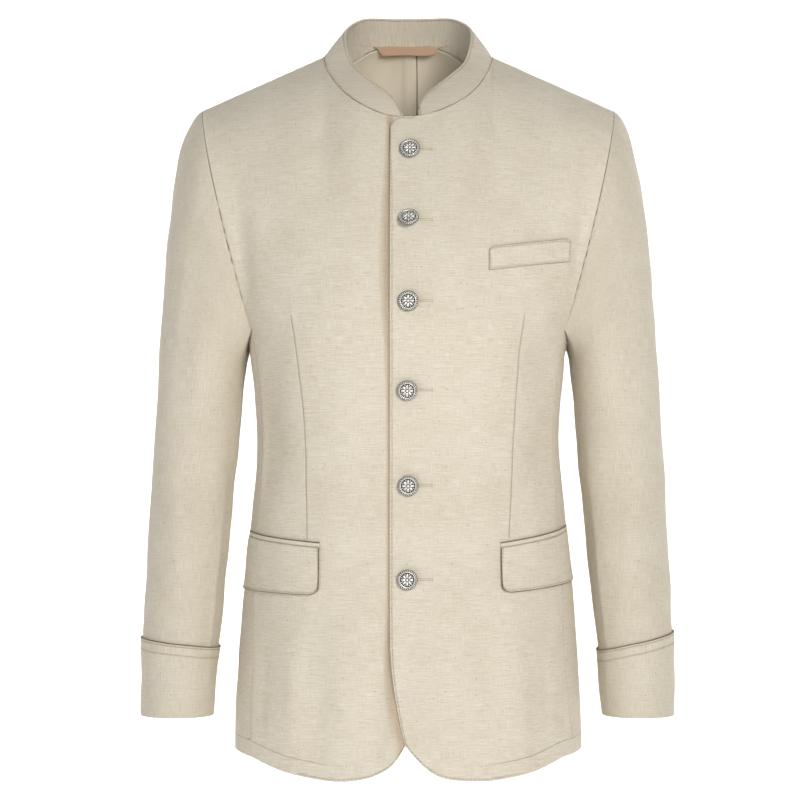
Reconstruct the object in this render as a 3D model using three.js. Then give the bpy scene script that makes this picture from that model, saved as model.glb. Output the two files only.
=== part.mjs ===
import * as THREE from "three";

// Linen jacket, hollow and in its worn form. Millimetres, +Z up, the fronts face -Y and the wearer's
// left is +X. The origin lies midway between the two side neck points. Every surface is written for
// the side where x grows outward; a garment side then gives x its sign.

// ---- Driving sizes
const CLOTH = 1.8;
const COLLAR_CLOTH = 2.4;
const TRIM_CLOTH = 1.4;
const LINING_CLOTH = 1.2;
const SEAM_GAP = 0.34;
const LAY_GAP = 0.4;
const LINING_CLEAR = 1.5;
const SQUARENESS = 2.35;
const UNDERARM_Z = -290;
const NECK_HALF = 90;
const NECK_Y = 8;
const NECK_FRONT = 83;
const NECK_BACK = 77;
const NECK_SIDE_Z = 4.2;
const NECK_DROP = 71.7;
const LAP_OUT = 19.2;
const SHOULDER_TIP = { x: 220, y: 5, z: -54 };
const ARM_TOP_Z = -330;
const SLEEVE_END_Z = -694;
const CUFF_END_Z = -697;
const ARM_SQUARENESS = 2.2;
const BUTTON_RADIUS = 10.6;

// ---- Grid counts
const LAP_COLUMNS = 3;
const NECK_COLUMNS = 6;
const SHOULDER_COLUMNS = 5;
const SIDE_COLUMNS = 5;
const BODY_ROWS = 14;
const CHEST_ROWS = 8;
const HEAD_ROWS = 6;
const ARM_ROWS = 9;

// ---- Tables, each from low to high in its first column
const BODY = [
  { z: -760, half: 186, front: 145, back: 138 },
  { z: -735, half: 185.5, front: 144, back: 137 },
  { z: -670, half: 183, front: 141, back: 134 },
  { z: -610, half: 179, front: 138, back: 130 },
  { z: -525, half: 171.5, front: 133, back: 123 },
  { z: -480, half: 166, front: 131, back: 119 },
  { z: -405, half: 161, front: 131, back: 119 },
  { z: -330, half: 166.5, front: 139, back: 129 },
  { z: -290, half: 172.5, front: 142, back: 134 },
];
const FRONT_EDGE = [
  { z: -718, x: -3.5 },
  { z: -693, x: -9 },
  { z: -652, x: -16 },
  { z: -610, x: -19 },
  { z: -290, x: -19 },
];
const FRONT_HEM = [
  { share: 0, z: -718 },
  { share: 0.2, z: -737 },
  { share: 0.273, z: -748.5 },
  { share: 0.353, z: -753 },
  { share: 0.5, z: -752.5 },
  { share: 0.71, z: -748.5 },
  { share: 0.87, z: -740 },
  { share: 1, z: -735 },
];
const FRONT_RISE = [
  { share: 0.2, sx: 0, sy: 0, sz: 235, ex: 0, ey: 125, ez: 150 },
  { share: 0.27, sx: 0, sy: 0, sz: 235, ex: 0, ey: 125, ez: 150 },
  { share: 0.5, sx: 0, sy: -22, sz: 270, ex: 0, ey: 235, ez: 75 },
  { share: 0.75, sx: 15, sy: -30, sz: 215, ex: 0, ey: 255, ez: 60 },
  { share: 1, sx: 50, sy: -38, sz: 140, ex: 0, ey: 262, ez: 75 },
];
const BACK_RISE = [
  { share: 0, sx: 40, sy: 45, sz: 120, ex: 2, ey: -262, ez: 75 },
  { share: 0.3, sx: 5, sy: 42, sz: 310, ex: -20, ey: -290, ez: 35 },
  { share: 0.59, sx: 0, sy: 30, sz: 380, ex: 0, ey: -280, ez: 0 },
  { share: 0.8, sx: 0, sy: 20, sz: 365, ex: 0, ey: -190, ez: 55 },
  { share: 1, sx: 0, sy: 12, sz: 340, ex: 0, ey: -110, ez: 100 },
];
const SEAM_SHARES = [
  { z: -735, front: 0.885, back: 0.86 },
  { z: -600, front: 0.915, back: 0.88 },
  { z: -480, front: 0.95, back: 0.9 },
  { z: -290, front: 0.955, back: 0.93 },
];
const ARM = [
  { z: -697, outer: 280.6, inner: 208.3, centre: -28, deep: 51 },
  { z: -640, outer: 281, inner: 203.6, centre: -20, deep: 52.5 },
  { z: -600, outer: 281.6, inner: 199, centre: -14, deep: 54 },
  { z: -530, outer: 278.5, inner: 192, centre: -5, deep: 56.5 },
  { z: -460, outer: 274.7, inner: 186, centre: 2, deep: 59 },
  { z: -390, outer: 270.3, inner: 179, centre: 4, deep: 62 },
  { z: -330, outer: 266.8, inner: 173, centre: 4, deep: 66 },
];
const COLLAR_RIM = [
  { angle: 5, reach: 80, z: -62 },
  { angle: 11, reach: 73, z: -48 },
  { angle: 20, reach: 67, z: -37.5 },
  { angle: 42, reach: 67.3, z: -19.4 },
  { angle: 62, reach: 67.5, z: -3.5 },
  { angle: 76, reach: 67.5, z: 14 },
  { angle: 97, reach: 67.5, z: 33.5 },
  { angle: 122, reach: 67.5, z: 46.5 },
  { angle: 140, reach: 67.5, z: 51.8 },
  { angle: 180, reach: 67, z: 53 },
];
// Soft troughs and ridges of the body. across is x on the fronts and back and y on the sides; side is
// 1 for the wearer's left, -1 for the right.
const FOLDS = [
  { face: "front", side: 1, across: 137, top: -270, bottom: -505, lean: 5, width: 15, depth: -3.6 },
  { face: "front", side: -1, across: 140, top: -280, bottom: -500, lean: 4, width: 14, depth: -3.2 },
  { face: "front", side: 1, across: 112, top: -590, bottom: -775, lean: 10, width: 13, depth: 3.4 },
  { face: "front", side: 1, across: 82, top: -560, bottom: -770, lean: 4, width: 14, depth: -2.6 },
  { face: "front", side: -1, across: 118, top: -585, bottom: -775, lean: 6, width: 12, depth: 3.2 },
  { face: "front", side: -1, across: 90, top: -570, bottom: -770, lean: 6, width: 13, depth: -2.4 },
  { face: "front", side: 1, across: 190, top: -120, bottom: -290, lean: -12, width: 12, depth: -3.4 },
  { face: "front", side: -1, across: 182, top: -115, bottom: -290, lean: -14, width: 13, depth: -3.8 },
  { face: "back", side: 1, across: 70, top: -330, bottom: -560, lean: -10, width: 24, depth: -3.2 },
  { face: "back", side: -1, across: 76, top: -320, bottom: -540, lean: -8, width: 22, depth: -3.6 },
  { face: "back", side: 1, across: 118, top: -540, bottom: -760, lean: 8, width: 18, depth: 3.6 },
  { face: "back", side: -1, across: 108, top: -560, bottom: -755, lean: 10, width: 20, depth: 3.2 },
  { face: "back", side: 1, across: 158, top: -110, bottom: -300, lean: -14, width: 17, depth: -3.6 },
  { face: "back", side: -1, across: 160, top: -100, bottom: -290, lean: -12, width: 18, depth: -3.2 },
];
// Soft folds of the sleeves: angle is 0 outside, 90 in front, 180 against the body, 270 behind.
const SLEEVE_FOLDS = [
  { side: 1, angle: 62, top: -110, bottom: -420, lean: 14, width: 15, depth: -4.2 },
  { side: -1, angle: 66, top: -120, bottom: -440, lean: 10, width: 14, depth: -4.4 },
  { side: 1, angle: 118, top: -340, bottom: -560, lean: -16, width: 16, depth: -3.8 },
  { side: -1, angle: 112, top: -330, bottom: -540, lean: -14, width: 15, depth: -3.4 },
  { side: 1, angle: 82, top: -440, bottom: -610, lean: 18, width: 14, depth: 3.2 },
  { side: -1, angle: 78, top: -450, bottom: -620, lean: 20, width: 13, depth: 3.4 },
  { side: 1, angle: 286, top: -120, bottom: -400, lean: -12, width: 16, depth: -3.8 },
  { side: -1, angle: 290, top: -110, bottom: -410, lean: -10, width: 17, depth: -3.4 },
  { side: 1, angle: 250, top: -420, bottom: -600, lean: 12, width: 17, depth: 3.4 },
  { side: -1, angle: 246, top: -430, bottom: -610, lean: 14, width: 16, depth: 3.6 },
];
const SIDES = [
  { name: "right", sign: -1, collarEnd: 5.2, lap: 0, drop: 0.014, cuffOuter: -618, cuffInner: -628 },
  { name: "left", sign: 1, collarEnd: 7.1, lap: 1, drop: 0, cuffOuter: -611.5, cuffInner: -631.5 },
];
const FLAPS = [
  { side: -1, x: 91.3, innerTop: -517, outerTop: -508, innerFoot: -566, outerFoot: -563.5 },
  { side: 1, x: 95, innerTop: -517, outerTop: -502, innerFoot: -564, outerFoot: -554.5 },
];
const WELT = { x0: 83, x1: 168.5, top0: -205.5, top1: -194.5, foot0: -230, foot1: -219 };
const BUTTONS = [
  { z: -103, x: 1.7, tilt: 4 },
  { z: -177.5, x: 0.7, tilt: 28 },
  { z: -262, x: -0.3, tilt: 6 },
  { z: -353.5, x: -1.3, tilt: 5 },
  { z: -452, x: -0.3, tilt: 4 },
  { z: -548.5, x: -1.3, tilt: 6 },
];
const BUTTON_PROFILE = [
  { r: 2.4, h: 0 },
  { r: 2.4, h: 1.2 },
  { r: 9.4, h: 2 },
  { r: BUTTON_RADIUS, h: 3.1 },
  { r: 9.9, h: 4.4 },
  { r: 8.4, h: 4.5 },
  { r: 7.7, h: 4 },
  { r: 4.6, h: 5.6 },
];
const COLOURS = {
  cloth: { color: 0xdcd3bd, roughness: 0.92, metalness: 0 },
  trim: { color: 0xd6ccb4, roughness: 0.92, metalness: 0 },
  lining: { color: 0xc6b899, roughness: 0.9, metalness: 0 },
  tape: { color: 0xb39470, roughness: 0.85, metalness: 0 },
  button: { color: 0x8e8f8b, roughness: 0.36, metalness: 0.95 },
};

// ---- Small helpers
const DEGREE = Math.PI / 180;
const mix = (a, b, t) => a + (b - a) * t;
const clamp = (t) => Math.min(1, Math.max(0, t));
const ease = (t) => clamp(t) ** 2 * (3 - 2 * clamp(t));
const steps = (count, from = 0, to = 1) =>
  Array.from({ length: count + 1 }, (_, i) => mix(from, to, i / count));
const signedPower = (value, power) => Math.sign(value) * Math.abs(value) ** power;
const vector = (x, y, z) => new THREE.Vector3(x, y, z);

/** Cubic through two values with their slopes, t from 0 to 1. */
function cubic(a, slopeA, b, slopeB, t) {
  const u = 1 - t;
  return a * u * u * (1 + 2 * t) + b * t * t * (3 - 2 * t) + slopeA * t * u * u - slopeB * t * t * u;
}

/** All other columns of a table at one value of its key column, smooth through its rows. */
function read(table, key, value) {
  const last = table.length - 1;
  let i = 0;
  while (i < last - 1 && value > table[i + 1][key]) i += 1;
  const span = table[i + 1][key] - table[i][key];
  const t = clamp((value - table[i][key]) / span);
  const slope = (row, column) => {
    const a = table[Math.max(row - 1, 0)];
    const b = table[Math.min(row + 1, last)];
    return ((b[column] - a[column]) / (b[key] - a[key])) * span;
  };
  const found = {};
  for (const column of Object.keys(table[0]).filter((name) => name !== key)) {
    const [low, high] = [table[i][column], table[i + 1][column]];
    found[column] = cubic(low, slope(i, column), high, slope(i + 1, column), t);
  }
  return found;
}

/** Outward normal of a surface (u, v) -> point, with u running round and v up. */
function normalOf(surface, u, v) {
  const step = 1e-3;
  const along = surface(u + step, v).sub(surface(u - step, v));
  const up = surface(u, v + step).sub(surface(u, v - step));
  return along.cross(up).normalize();
}

/** The surface moved out along its normal by height(point). */
const raised = (surface, height) => (u, v) => {
  const point = surface(u, v);
  return point.clone().addScaledVector(normalOf(surface, u, v), height(point, u, v));
};

/** Point and normal of a surface at the place (x, z) of the front view. */
function seat(surface, x, z) {
  let u = clamp(x / 170);
  let v = z > UNDERARM_Z ? 0.4 : -0.4;
  const step = 1e-3;
  for (let round = 0; round < 25; round += 1) {
    const p = surface(u, v);
    const du = surface(u + step, v).sub(p).divideScalar(step);
    const dv = surface(u, v + step).sub(p).divideScalar(step);
    const det = du.x * dv.z - du.z * dv.x;
    u += 0.8 * (((x - p.x) * dv.z - (z - p.z) * dv.x) / det);
    v += 0.8 * (((z - p.z) * du.x - (x - p.x) * du.z) / det);
  }
  return { point: surface(u, v), normal: normalOf(surface, u, v), u, v };
}

// ---- Body surfaces, in outward x
/** Angle round the body, 0 at centre front and 180 at centre back, where a ring reaches x. */
const angleAt = (x, half) => Math.asin(signedPower(x / half, SQUARENESS / 2)) / DEGREE;

/** Height of the soft folds at a point of one face. */
function foldHeight(folds, face, sign, across, z) {
  let height = 0;
  for (const fold of folds) {
    if (fold.face === face && fold.side === sign && z < fold.top && z > fold.bottom) {
      const down = (fold.top - z) / (fold.top - fold.bottom);
      const offset = (across - fold.across - fold.lean * down) / fold.width;
      height += fold.depth * Math.exp(-offset * offset) * (4 * down * (1 - down)) ** 1.5;
    }
  }
  return height;
}

function bodyPoint(angle, z) {
  const ring = read(BODY, "z", z);
  const sine = Math.sin(angle * DEGREE);
  const cosine = Math.cos(angle * DEGREE);
  const depth = cosine > 0 ? ring.front : ring.back;
  const x = ring.half * signedPower(sine, 2 / SQUARENESS);
  return vector(x, -depth * signedPower(cosine, 2 / SQUARENESS), z);
}

const frontSeamAngle = (z) => Math.asin(read(SEAM_SHARES, "z", z).front ** (SQUARENESS / 2)) / DEGREE;
const backSeamAngle = (z) => 180 - Math.asin(read(SEAM_SHARES, "z", z).back ** (SQUARENESS / 2)) / DEGREE;

/** Ridge over the shoulder at x, carried on over the neck opening to a middle point. */
function ridgePoint(x, middle) {
  if (x > NECK_HALF) {
    const share = (x - NECK_HALF) / (SHOULDER_TIP.x - NECK_HALF);
    return vector(x, mix(NECK_Y, SHOULDER_TIP.y, share), mix(NECK_SIDE_Z, SHOULDER_TIP.z, share));
  }
  const slope = ((SHOULDER_TIP.z - NECK_SIDE_Z) / (SHOULDER_TIP.x - NECK_HALF)) * NECK_HALF;
  const share = Math.abs(x) / NECK_HALF;
  const z = cubic(middle.z, 0, NECK_SIDE_Z, slope, share);
  return vector(x, mix(NECK_Y, middle.y, (1 - share ** 3) ** 2), z);
}

const hollow = (x) => Math.sqrt(Math.max(0, 1 - (x / NECK_HALF) ** 2));
const inFrontNeck = ({ x, z }) => z > NECK_SIDE_Z - NECK_DROP * hollow(x) ** 1.2;
const inBackNeck = ({ x, y }) => y < NECK_Y + NECK_BACK * hollow(x);

/** Highest level of a column that stays out of the neck opening. */
function neckLevel(column, inNeck) {
  let low = 0.5;
  let high = 1;
  for (let round = 0; round < 26; round += 1) {
    const middle = (low + high) / 2;
    if (inNeck(column(middle))) high = middle;
    else low = middle;
  }
  return low;
}

/** Level of a column that ends at top, most of the shortening near its end. */
const shortened = (level, top) => level * (1 - (1 - top) * level * level);

/** Keeps what a function of one number returned. */
function remembered(compute) {
  const known = new Map();
  return (key) => {
    if (!known.has(key)) known.set(key, compute(key));
    return known.get(key);
  };
}

/** A column that leaves the chest level at start and arrives at end with the rise of its table row. */
function risingPoint(start, end, rise, t) {
  return vector(
    cubic(start.x, rise.sx, end.x, rise.ex, t),
    cubic(start.y, rise.sy, end.y, rise.ey, t),
    cubic(start.z, rise.sz, end.z, rise.ez, t),
  );
}

// Shares of the front's width at the collar end and the side neck point, and the back's at the latter.
const LAP_SHARE = 0.2;
const FRONT_NECK_SHARE = 0.5024;
const BACK_NECK_SHARE = 1 - NECK_HALF / SHOULDER_TIP.x;
const FRONT_MIDDLE = { y: -52, z: -35 };
const BACK_MIDDLE = { y: 72, z: 41 };

const lapX = (side) => NECK_HALF * Math.sin(side.collarEnd * DEGREE);

/** Where on the ridge a column of the front ends, and the share that ends at x. */
function frontRidgeX(side, share) {
  if (share < LAP_SHARE) return mix(-LAP_OUT, lapX(side), share / LAP_SHARE);
  const slope = (NECK_HALF - lapX(side)) / (FRONT_NECK_SHARE - LAP_SHARE);
  if (share < FRONT_NECK_SHARE) return lapX(side) + slope * (share - LAP_SHARE);
  return mix(NECK_HALF, SHOULDER_TIP.x, (share - FRONT_NECK_SHARE) / (1 - FRONT_NECK_SHARE));
}
/** The share whose column ends at x, between the collar end and the side neck point. */
const frontShareAt = (side, x) =>
  mix(LAP_SHARE, FRONT_NECK_SHARE, (x - lapX(side)) / (NECK_HALF - lapX(side)));

/** Share of the chest's height cut off the lap, which rounds its upper corner. */
function lapCut(side, share) {
  const out = 1 - share / LAP_SHARE;
  return 0.08 * clamp((out - 0.35) / 0.65) ** 2 + side.drop * ease(out * 3);
}

/** Front panel: share from its front edge to the side seam, level -1 hem, 0 underarm, 1 top. */
function frontPanel(side) {
  const place = (share, z) => {
    const half = read(BODY, "z", z).half;
    const edge = read(FRONT_EDGE, "z", z).x;
    if (share < LAP_SHARE) return bodyPoint(angleAt(mix(edge, lapX(side), share / LAP_SHARE), half), z);
    const across = (share - LAP_SHARE) / (1 - LAP_SHARE);
    return bodyPoint(mix(angleAt(lapX(side), half), frontSeamAngle(z), across), z);
  };
  const column = (share) => {
    const start = place(share, UNDERARM_Z);
    const end = ridgePoint(frontRidgeX(side, share), FRONT_MIDDLE);
    const rise = read(FRONT_RISE, "share", share);
    return (level) => risingPoint(start, end, rise, level);
  };
  const top = remembered((share) => {
    if (share >= FRONT_NECK_SHARE) return 1;
    return neckLevel(column(share), inFrontNeck) * (1 - Math.max(0, lapCut(side, share)));
  });
  return (share, level) => {
    if (level > 0) return column(share)(shortened(level, top(share)));
    return place(share, mix(read(FRONT_HEM, "share", share).z, UNDERARM_Z, level + 1));
  };
}

const FRONT_PANELS = new Map(SIDES.map((side) => [side.name, frontPanel(side)]));
const frontBase = (side) => FRONT_PANELS.get(side.name);

const frontSurface = (side) =>
  raised(frontBase(side), (point) => {
    const lap = side.lap * (CLOTH + 2 * LAY_GAP) * ease((72 - point.x) / 36);
    return lap + foldHeight(FOLDS, "front", side.sign, point.x, point.z);
  });

/** Back panel: share from the side seam to centre back. */
function backPanel() {
  const place = (share, z) => bodyPoint(mix(backSeamAngle(z), 180, share), z);
  const column = (share) => {
    const start = place(share, UNDERARM_Z);
    const end = ridgePoint(SHOULDER_TIP.x * (1 - share), BACK_MIDDLE);
    const rise = read(BACK_RISE, "share", share);
    return (level) => risingPoint(start, end, rise, level);
  };
  const top = remembered((share) =>
    share > BACK_NECK_SHARE ? neckLevel(column(share), inBackNeck) : 1,
  );
  return (share, level) => {
    if (level > 0) return column(share)(shortened(level, top(share)));
    return place(share, mix(mix(-735, -738, share), UNDERARM_Z, level + 1));
  };
}

const backBase = backPanel();

const backSurface = (side) =>
  raised(backBase, (point) => foldHeight(FOLDS, "back", side.sign, point.x, point.z));

/** Side panel: share from the front seam to the back seam, its top edge hollowed under the arm. */
const sideSurface = (share, level) => {
  const round = Math.sin(Math.PI * clamp(share));
  const z = mix(-735 + 5 * round, UNDERARM_Z - 15 * round, level + 1);
  return bodyPoint(mix(frontSeamAngle(z), backSeamAngle(z), share), z);
};

// ---- Sleeve surface, in outward x
const LOOP = 2 * CHEST_ROWS + SIDE_COLUMNS;

/** Armhole seam: 0 front underarm, up the front to the tip, down the back and along the side panel. */
function armholePoint(column) {
  const place = ((column % LOOP) + LOOP) % LOOP;
  if (place <= CHEST_ROWS) return frontBase(SIDES[1])(1, place / CHEST_ROWS);
  if (place <= 2 * CHEST_ROWS) return backBase(0, 2 - place / CHEST_ROWS);
  return sideSurface(1 - (place - 2 * CHEST_ROWS) / SIDE_COLUMNS, 0);
}

/** Angle round the arm, 0 outside, 90 in front, of a column of the armhole. */
function armAngle(column) {
  const place = (((column - CHEST_ROWS) % LOOP) + LOOP) % LOOP;
  const side = 150 / CHEST_ROWS;
  if (place <= CHEST_ROWS) return 360 - place * side;
  if (place >= LOOP - CHEST_ROWS) return (LOOP - place) * side;
  return mix(210, 150, (place - CHEST_ROWS) / SIDE_COLUMNS);
}

function armPoint(angle, z) {
  const ring = read(ARM, "z", z);
  const reach = (ring.outer - ring.inner) / 2;
  const cosine = signedPower(Math.cos(angle * DEGREE), 2 / ARM_SQUARENESS);
  const sine = signedPower(Math.sin(angle * DEGREE), 2 / ARM_SQUARENESS);
  return vector((ring.outer + ring.inner) / 2 + reach * cosine, ring.centre - ring.deep * sine, z);
}

/** Direction in which the sleeve leaves the armhole at an angle round the arm. */
function leaving(angle) {
  const cosine = Math.cos(angle * DEGREE);
  return vector(0.55 + 0.3 * cosine, -0.45 * Math.sin(angle * DEGREE), -0.72 + 0.24 * cosine).normalize();
}

/** Sleeve: level 0 wrist, 1 the first whole ring of the arm, 2 the armhole. */
const sleeveBase = (column, level) => {
  const angle = armAngle(column);
  if (level <= 1) return armPoint(angle, mix(SLEEVE_END_Z, ARM_TOP_Z, level));
  const from = armholePoint(column);
  const to = armPoint(angle, ARM_TOP_Z);
  const reach = from.distanceTo(to);
  const down = armPoint(angle, ARM_TOP_Z - 1).sub(to).normalize();
  const start = leaving(angle).multiplyScalar(0.4 * reach);
  const end = down.multiplyScalar(1.19 * reach);
  const t = 2 - level;
  return vector(
    cubic(from.x, start.x, to.x, end.x, t),
    cubic(from.y, start.y, to.y, end.y, t),
    cubic(from.z, start.z, to.z, end.z, t),
  );
};

function sleeveFold(side, column, z) {
  const angle = armAngle(column);
  const folds = SLEEVE_FOLDS.map((fold) => ({ ...fold, face: "sleeve", across: fold.angle }));
  return foldHeight(folds, "sleeve", side.sign, angle, z);
}

const sleeveSurface = (side) => raised(sleeveBase, (point, column) => sleeveFold(side, column, point.z));

// ---- Sheets: grids of points and outward normals
/** Grid of a surface in a garment side's frame, rows from low to high; `facing` gives the normals. */
function gridOf(surface, columns, levels, side, facing = surface) {
  const mirror = (v) => v.multiply(vector(side.sign, 1, 1));
  return {
    points: levels.map((v) => columns.map((u) => mirror(surface(u, v)))),
    normals: levels.map((v) => columns.map((u) => mirror(normalOf(facing, u, v)))),
    sign: side.sign,
  };
}

const rowOf = (grid, row) => grid.points[row].map((point, i) => ({ point, normal: grid.normals[row][i] }));
const columnOf = (grid, column, from = 0) =>
  grid.points.slice(from).map((row, i) => ({ point: row[column], normal: grid.normals[from + i][column] }));

/** Gives two edges that meet in a seam the same normals, so that their rims stand parallel. */
function stitch(edgeA, edgeB) {
  edgeA.forEach(({ normal }, i) => {
    const shared = normal.clone().add(edgeB[i].normal).normalize();
    normal.copy(shared);
    edgeB[i].normal.copy(shared);
  });
}

/** Seams a sleeve to the armhole; where it folds back on the body it starts just off the cloth. */
function setSleeve(armhole, sleeve) {
  armhole.forEach(({ normal }, i) => {
    if (normal.dot(sleeve[i].normal) > -0.1) {
      stitch([{ normal }], [sleeve[i]]);
    } else {
      sleeve[i].point.addScaledVector(normal, 2 * SEAM_GAP);
    }
  });
}

/** Moves the named edges of a grid back from their seams, by half the seam gap unless told. */
function trim(grid, edges, gap = SEAM_GAP / 2) {
  const { points } = grid;
  const lastRow = points.length - 1;
  const lastColumn = points[0].length - 1;
  const pull = (row, column, toRow, toColumn) => {
    const inward = points[toRow][toColumn].clone().sub(points[row][column]).normalize();
    return () => points[row][column].addScaledVector(inward, gap);
  };
  const moves = [];
  for (let row = 0; row <= lastRow; row += 1) {
    if (edges.includes("start")) moves.push(pull(row, 0, row, 1));
    if (edges.includes("end")) moves.push(pull(row, lastColumn, row, lastColumn - 1));
  }
  for (let column = 0; column <= lastColumn; column += 1) {
    if (edges.includes("foot")) moves.push(pull(0, column, 1, column));
    if (edges.includes("top")) moves.push(pull(lastRow, column, lastRow - 1, column));
  }
  moves.forEach((move) => move());
  return grid;
}

/** Closed wall over a grid, from `inner` to `outer` along its normals; a ring grid has no end rims. */
function wall(grid, inner, outer, ring = false) {
  const { points, normals } = grid;
  const rows = points.length;
  const columns = points[0].length;
  const positions = [];
  for (const height of [outer, inner]) {
    points.forEach((row, i) =>
      row.forEach((point, j) => positions.push(...point.clone().addScaledVector(normals[i][j], height))),
    );
  }
  const faces = [];
  const at = (layer, i, j) => layer * rows * columns + i * columns + (j % columns);
  const quad = (a, b, c, d) => faces.push([a, b, c], [a, c, d]);
  const across = ring ? columns : columns - 1;
  for (let i = 0; i < rows - 1; i += 1) {
    for (let j = 0; j < across; j += 1) {
      quad(at(0, i, j), at(0, i, j + 1), at(0, i + 1, j + 1), at(0, i + 1, j));
      quad(at(1, i, j), at(1, i + 1, j), at(1, i + 1, j + 1), at(1, i, j + 1));
    }
  }
  for (let j = 0; j < across; j += 1) {
    const top = rows - 1;
    quad(at(0, 0, j), at(1, 0, j), at(1, 0, j + 1), at(0, 0, j + 1));
    quad(at(0, top, j), at(0, top, j + 1), at(1, top, j + 1), at(1, top, j));
  }
  for (let i = 0; i < rows - 1 && !ring; i += 1) {
    const end = columns - 1;
    quad(at(0, i, 0), at(0, i + 1, 0), at(1, i + 1, 0), at(1, i, 0));
    quad(at(0, i, end), at(1, i, end), at(1, i + 1, end), at(0, i + 1, end));
  }
  return solid(positions, faces, grid.sign < 0);
}

function solid(positions, faces, flip) {
  const geometry = new THREE.BufferGeometry();
  geometry.setAttribute("position", new THREE.Float32BufferAttribute(positions, 3));
  geometry.setIndex(faces.flatMap(([a, b, c]) => (flip ? [a, c, b] : [a, b, c])));
  geometry.computeVertexNormals();
  return geometry;
}

/** Solid of revolution about +Z from a profile that starts and ends on its flat ends. */
function turned(profile, segments) {
  const positions = [];
  for (const { r, h } of profile) {
    for (let k = 0; k < segments; k += 1) {
      const angle = (2 * Math.PI * k) / segments;
      positions.push(r * Math.cos(angle), r * Math.sin(angle), h);
    }
  }
  const foot = positions.length / 3;
  const last = profile[profile.length - 1];
  positions.push(0, 0, profile[0].h, 0, 0, last.h + 0.5);
  const faces = [];
  const at = (ring, k) => ring * segments + (k % segments);
  for (let k = 0; k < segments; k += 1) {
    for (let ring = 0; ring < profile.length - 1; ring += 1) {
      faces.push([at(ring, k), at(ring, k + 1), at(ring + 1, k + 1)]);
      faces.push([at(ring, k), at(ring + 1, k + 1), at(ring + 1, k)]);
    }
    faces.push([foot, at(0, k + 1), at(0, k)]);
    faces.push([foot + 1, at(profile.length - 1, k), at(profile.length - 1, k + 1)]);
  }
  return solid(positions, faces, false);
}

// ---- Group
const group = new THREE.Group();
group.name = "linen_jacket";

function add(name, geometry, colour) {
  const mesh = new THREE.Mesh(geometry, new THREE.MeshStandardMaterial(COLOURS[colour]));
  mesh.name = name;
  group.add(mesh);
}

// ---- Body panels and sleeves
const BODY_LEVELS = steps(BODY_ROWS, -1, 0);
const CHEST_LEVELS = steps(CHEST_ROWS).slice(1);
const LEVELS = [...BODY_LEVELS, ...CHEST_LEVELS];
const neckAngles = (side) => steps(NECK_COLUMNS, side.collarEnd, 90);
const frontShares = (side) => [
  ...steps(LAP_COLUMNS, 0, LAP_SHARE).slice(0, LAP_COLUMNS),
  ...neckAngles(side).map((angle) => frontShareAt(side, NECK_HALF * Math.sin(angle * DEGREE))),
  ...steps(SHOULDER_COLUMNS, FRONT_NECK_SHARE, 1).slice(1),
];
const backShareAt = (angle) => 1 - (NECK_HALF * Math.sin(angle * DEGREE)) / SHOULDER_TIP.x;
const BACK_SHARES = [
  ...steps(SHOULDER_COLUMNS, 0, BACK_NECK_SHARE),
  ...steps(NECK_COLUMNS, 90, 180).slice(1).map(backShareAt),
];
const FRONT_LAST = LAP_COLUMNS + NECK_COLUMNS + SHOULDER_COLUMNS;
// Sleeve columns of the front seam, just below the front underarm, and of the back seam.
const FRONT_ARM_SEAM = -1;
const BACK_ARM_SEAM = 14;
const SLEEVE_LEVELS = [...steps(ARM_ROWS), ...steps(HEAD_ROWS, 1, 2).slice(1)];

function panelsOf(side) {
  const panels = {
    front: gridOf(frontSurface(side), frontShares(side), LEVELS, side),
    back: gridOf(backSurface(side), BACK_SHARES, LEVELS, side),
    side: gridOf(sideSurface, steps(SIDE_COLUMNS), BODY_LEVELS, side),
    sleeve: gridOf(sleeveSurface(side), steps(LOOP, 0, LOOP), SLEEVE_LEVELS, side),
  };
  const underarm = BODY_ROWS;
  stitch(columnOf(panels.front, FRONT_LAST).slice(0, underarm + 1), columnOf(panels.side, 0));
  stitch(columnOf(panels.side, SIDE_COLUMNS), columnOf(panels.back, 0).slice(0, underarm + 1));
  const top = LEVELS.length - 1;
  stitch(
    rowOf(panels.front, top).slice(LAP_COLUMNS + NECK_COLUMNS),
    rowOf(panels.back, top).slice(0, SHOULDER_COLUMNS + 1).reverse(),
  );
  columnOf(panels.back, BACK_SHARES.length - 1).forEach(({ normal }) => normal.setX(0).normalize());
  const armhole = [
    ...columnOf(panels.front, FRONT_LAST, underarm),
    ...columnOf(panels.back, 0, underarm).reverse().slice(1),
    ...rowOf(panels.side, underarm).reverse().slice(1, SIDE_COLUMNS),
  ];
  setSleeve(armhole, rowOf(panels.sleeve, SLEEVE_LEVELS.length - 1).slice(0, LOOP));
  return panels;
}

/** Columns from..to of a loop grid, wrapping past its first column. */
function strip(grid, from, to) {
  const pick = (row) => {
    const picked = [];
    for (let j = from; j <= to; j += 1) picked.push(row[(j + LOOP) % LOOP].clone());
    return picked;
  };
  return { points: grid.points.map(pick), normals: grid.normals.map(pick), sign: grid.sign };
}

const panels = new Map(SIDES.map((side) => [side.name, panelsOf(side)]));

// ---- Collar, over the neck edges of fronts and backs
const neckEdge = (side) => {
  const { front, back } = panels.get(side.name);
  const top = LEVELS.length - 1;
  const ahead = rowOf(front, top).slice(LAP_COLUMNS, LAP_COLUMNS + NECK_COLUMNS + 1);
  return [...ahead, ...rowOf(back, top).slice(SHOULDER_COLUMNS + 1)];
};

/** Rim of the collar above the neck angle, which runs from 0 to 360. */
function rimPoint(angle) {
  const folded = angle > 180 ? 360 - angle : angle;
  const rim = read(COLLAR_RIM, "angle", folded);
  const x = rim.reach * Math.sin(folded * DEGREE) * (angle > 180 ? -1 : 1);
  return vector(x, NECK_Y - rim.reach * Math.cos(folded * DEGREE), rim.z);
}

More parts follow.
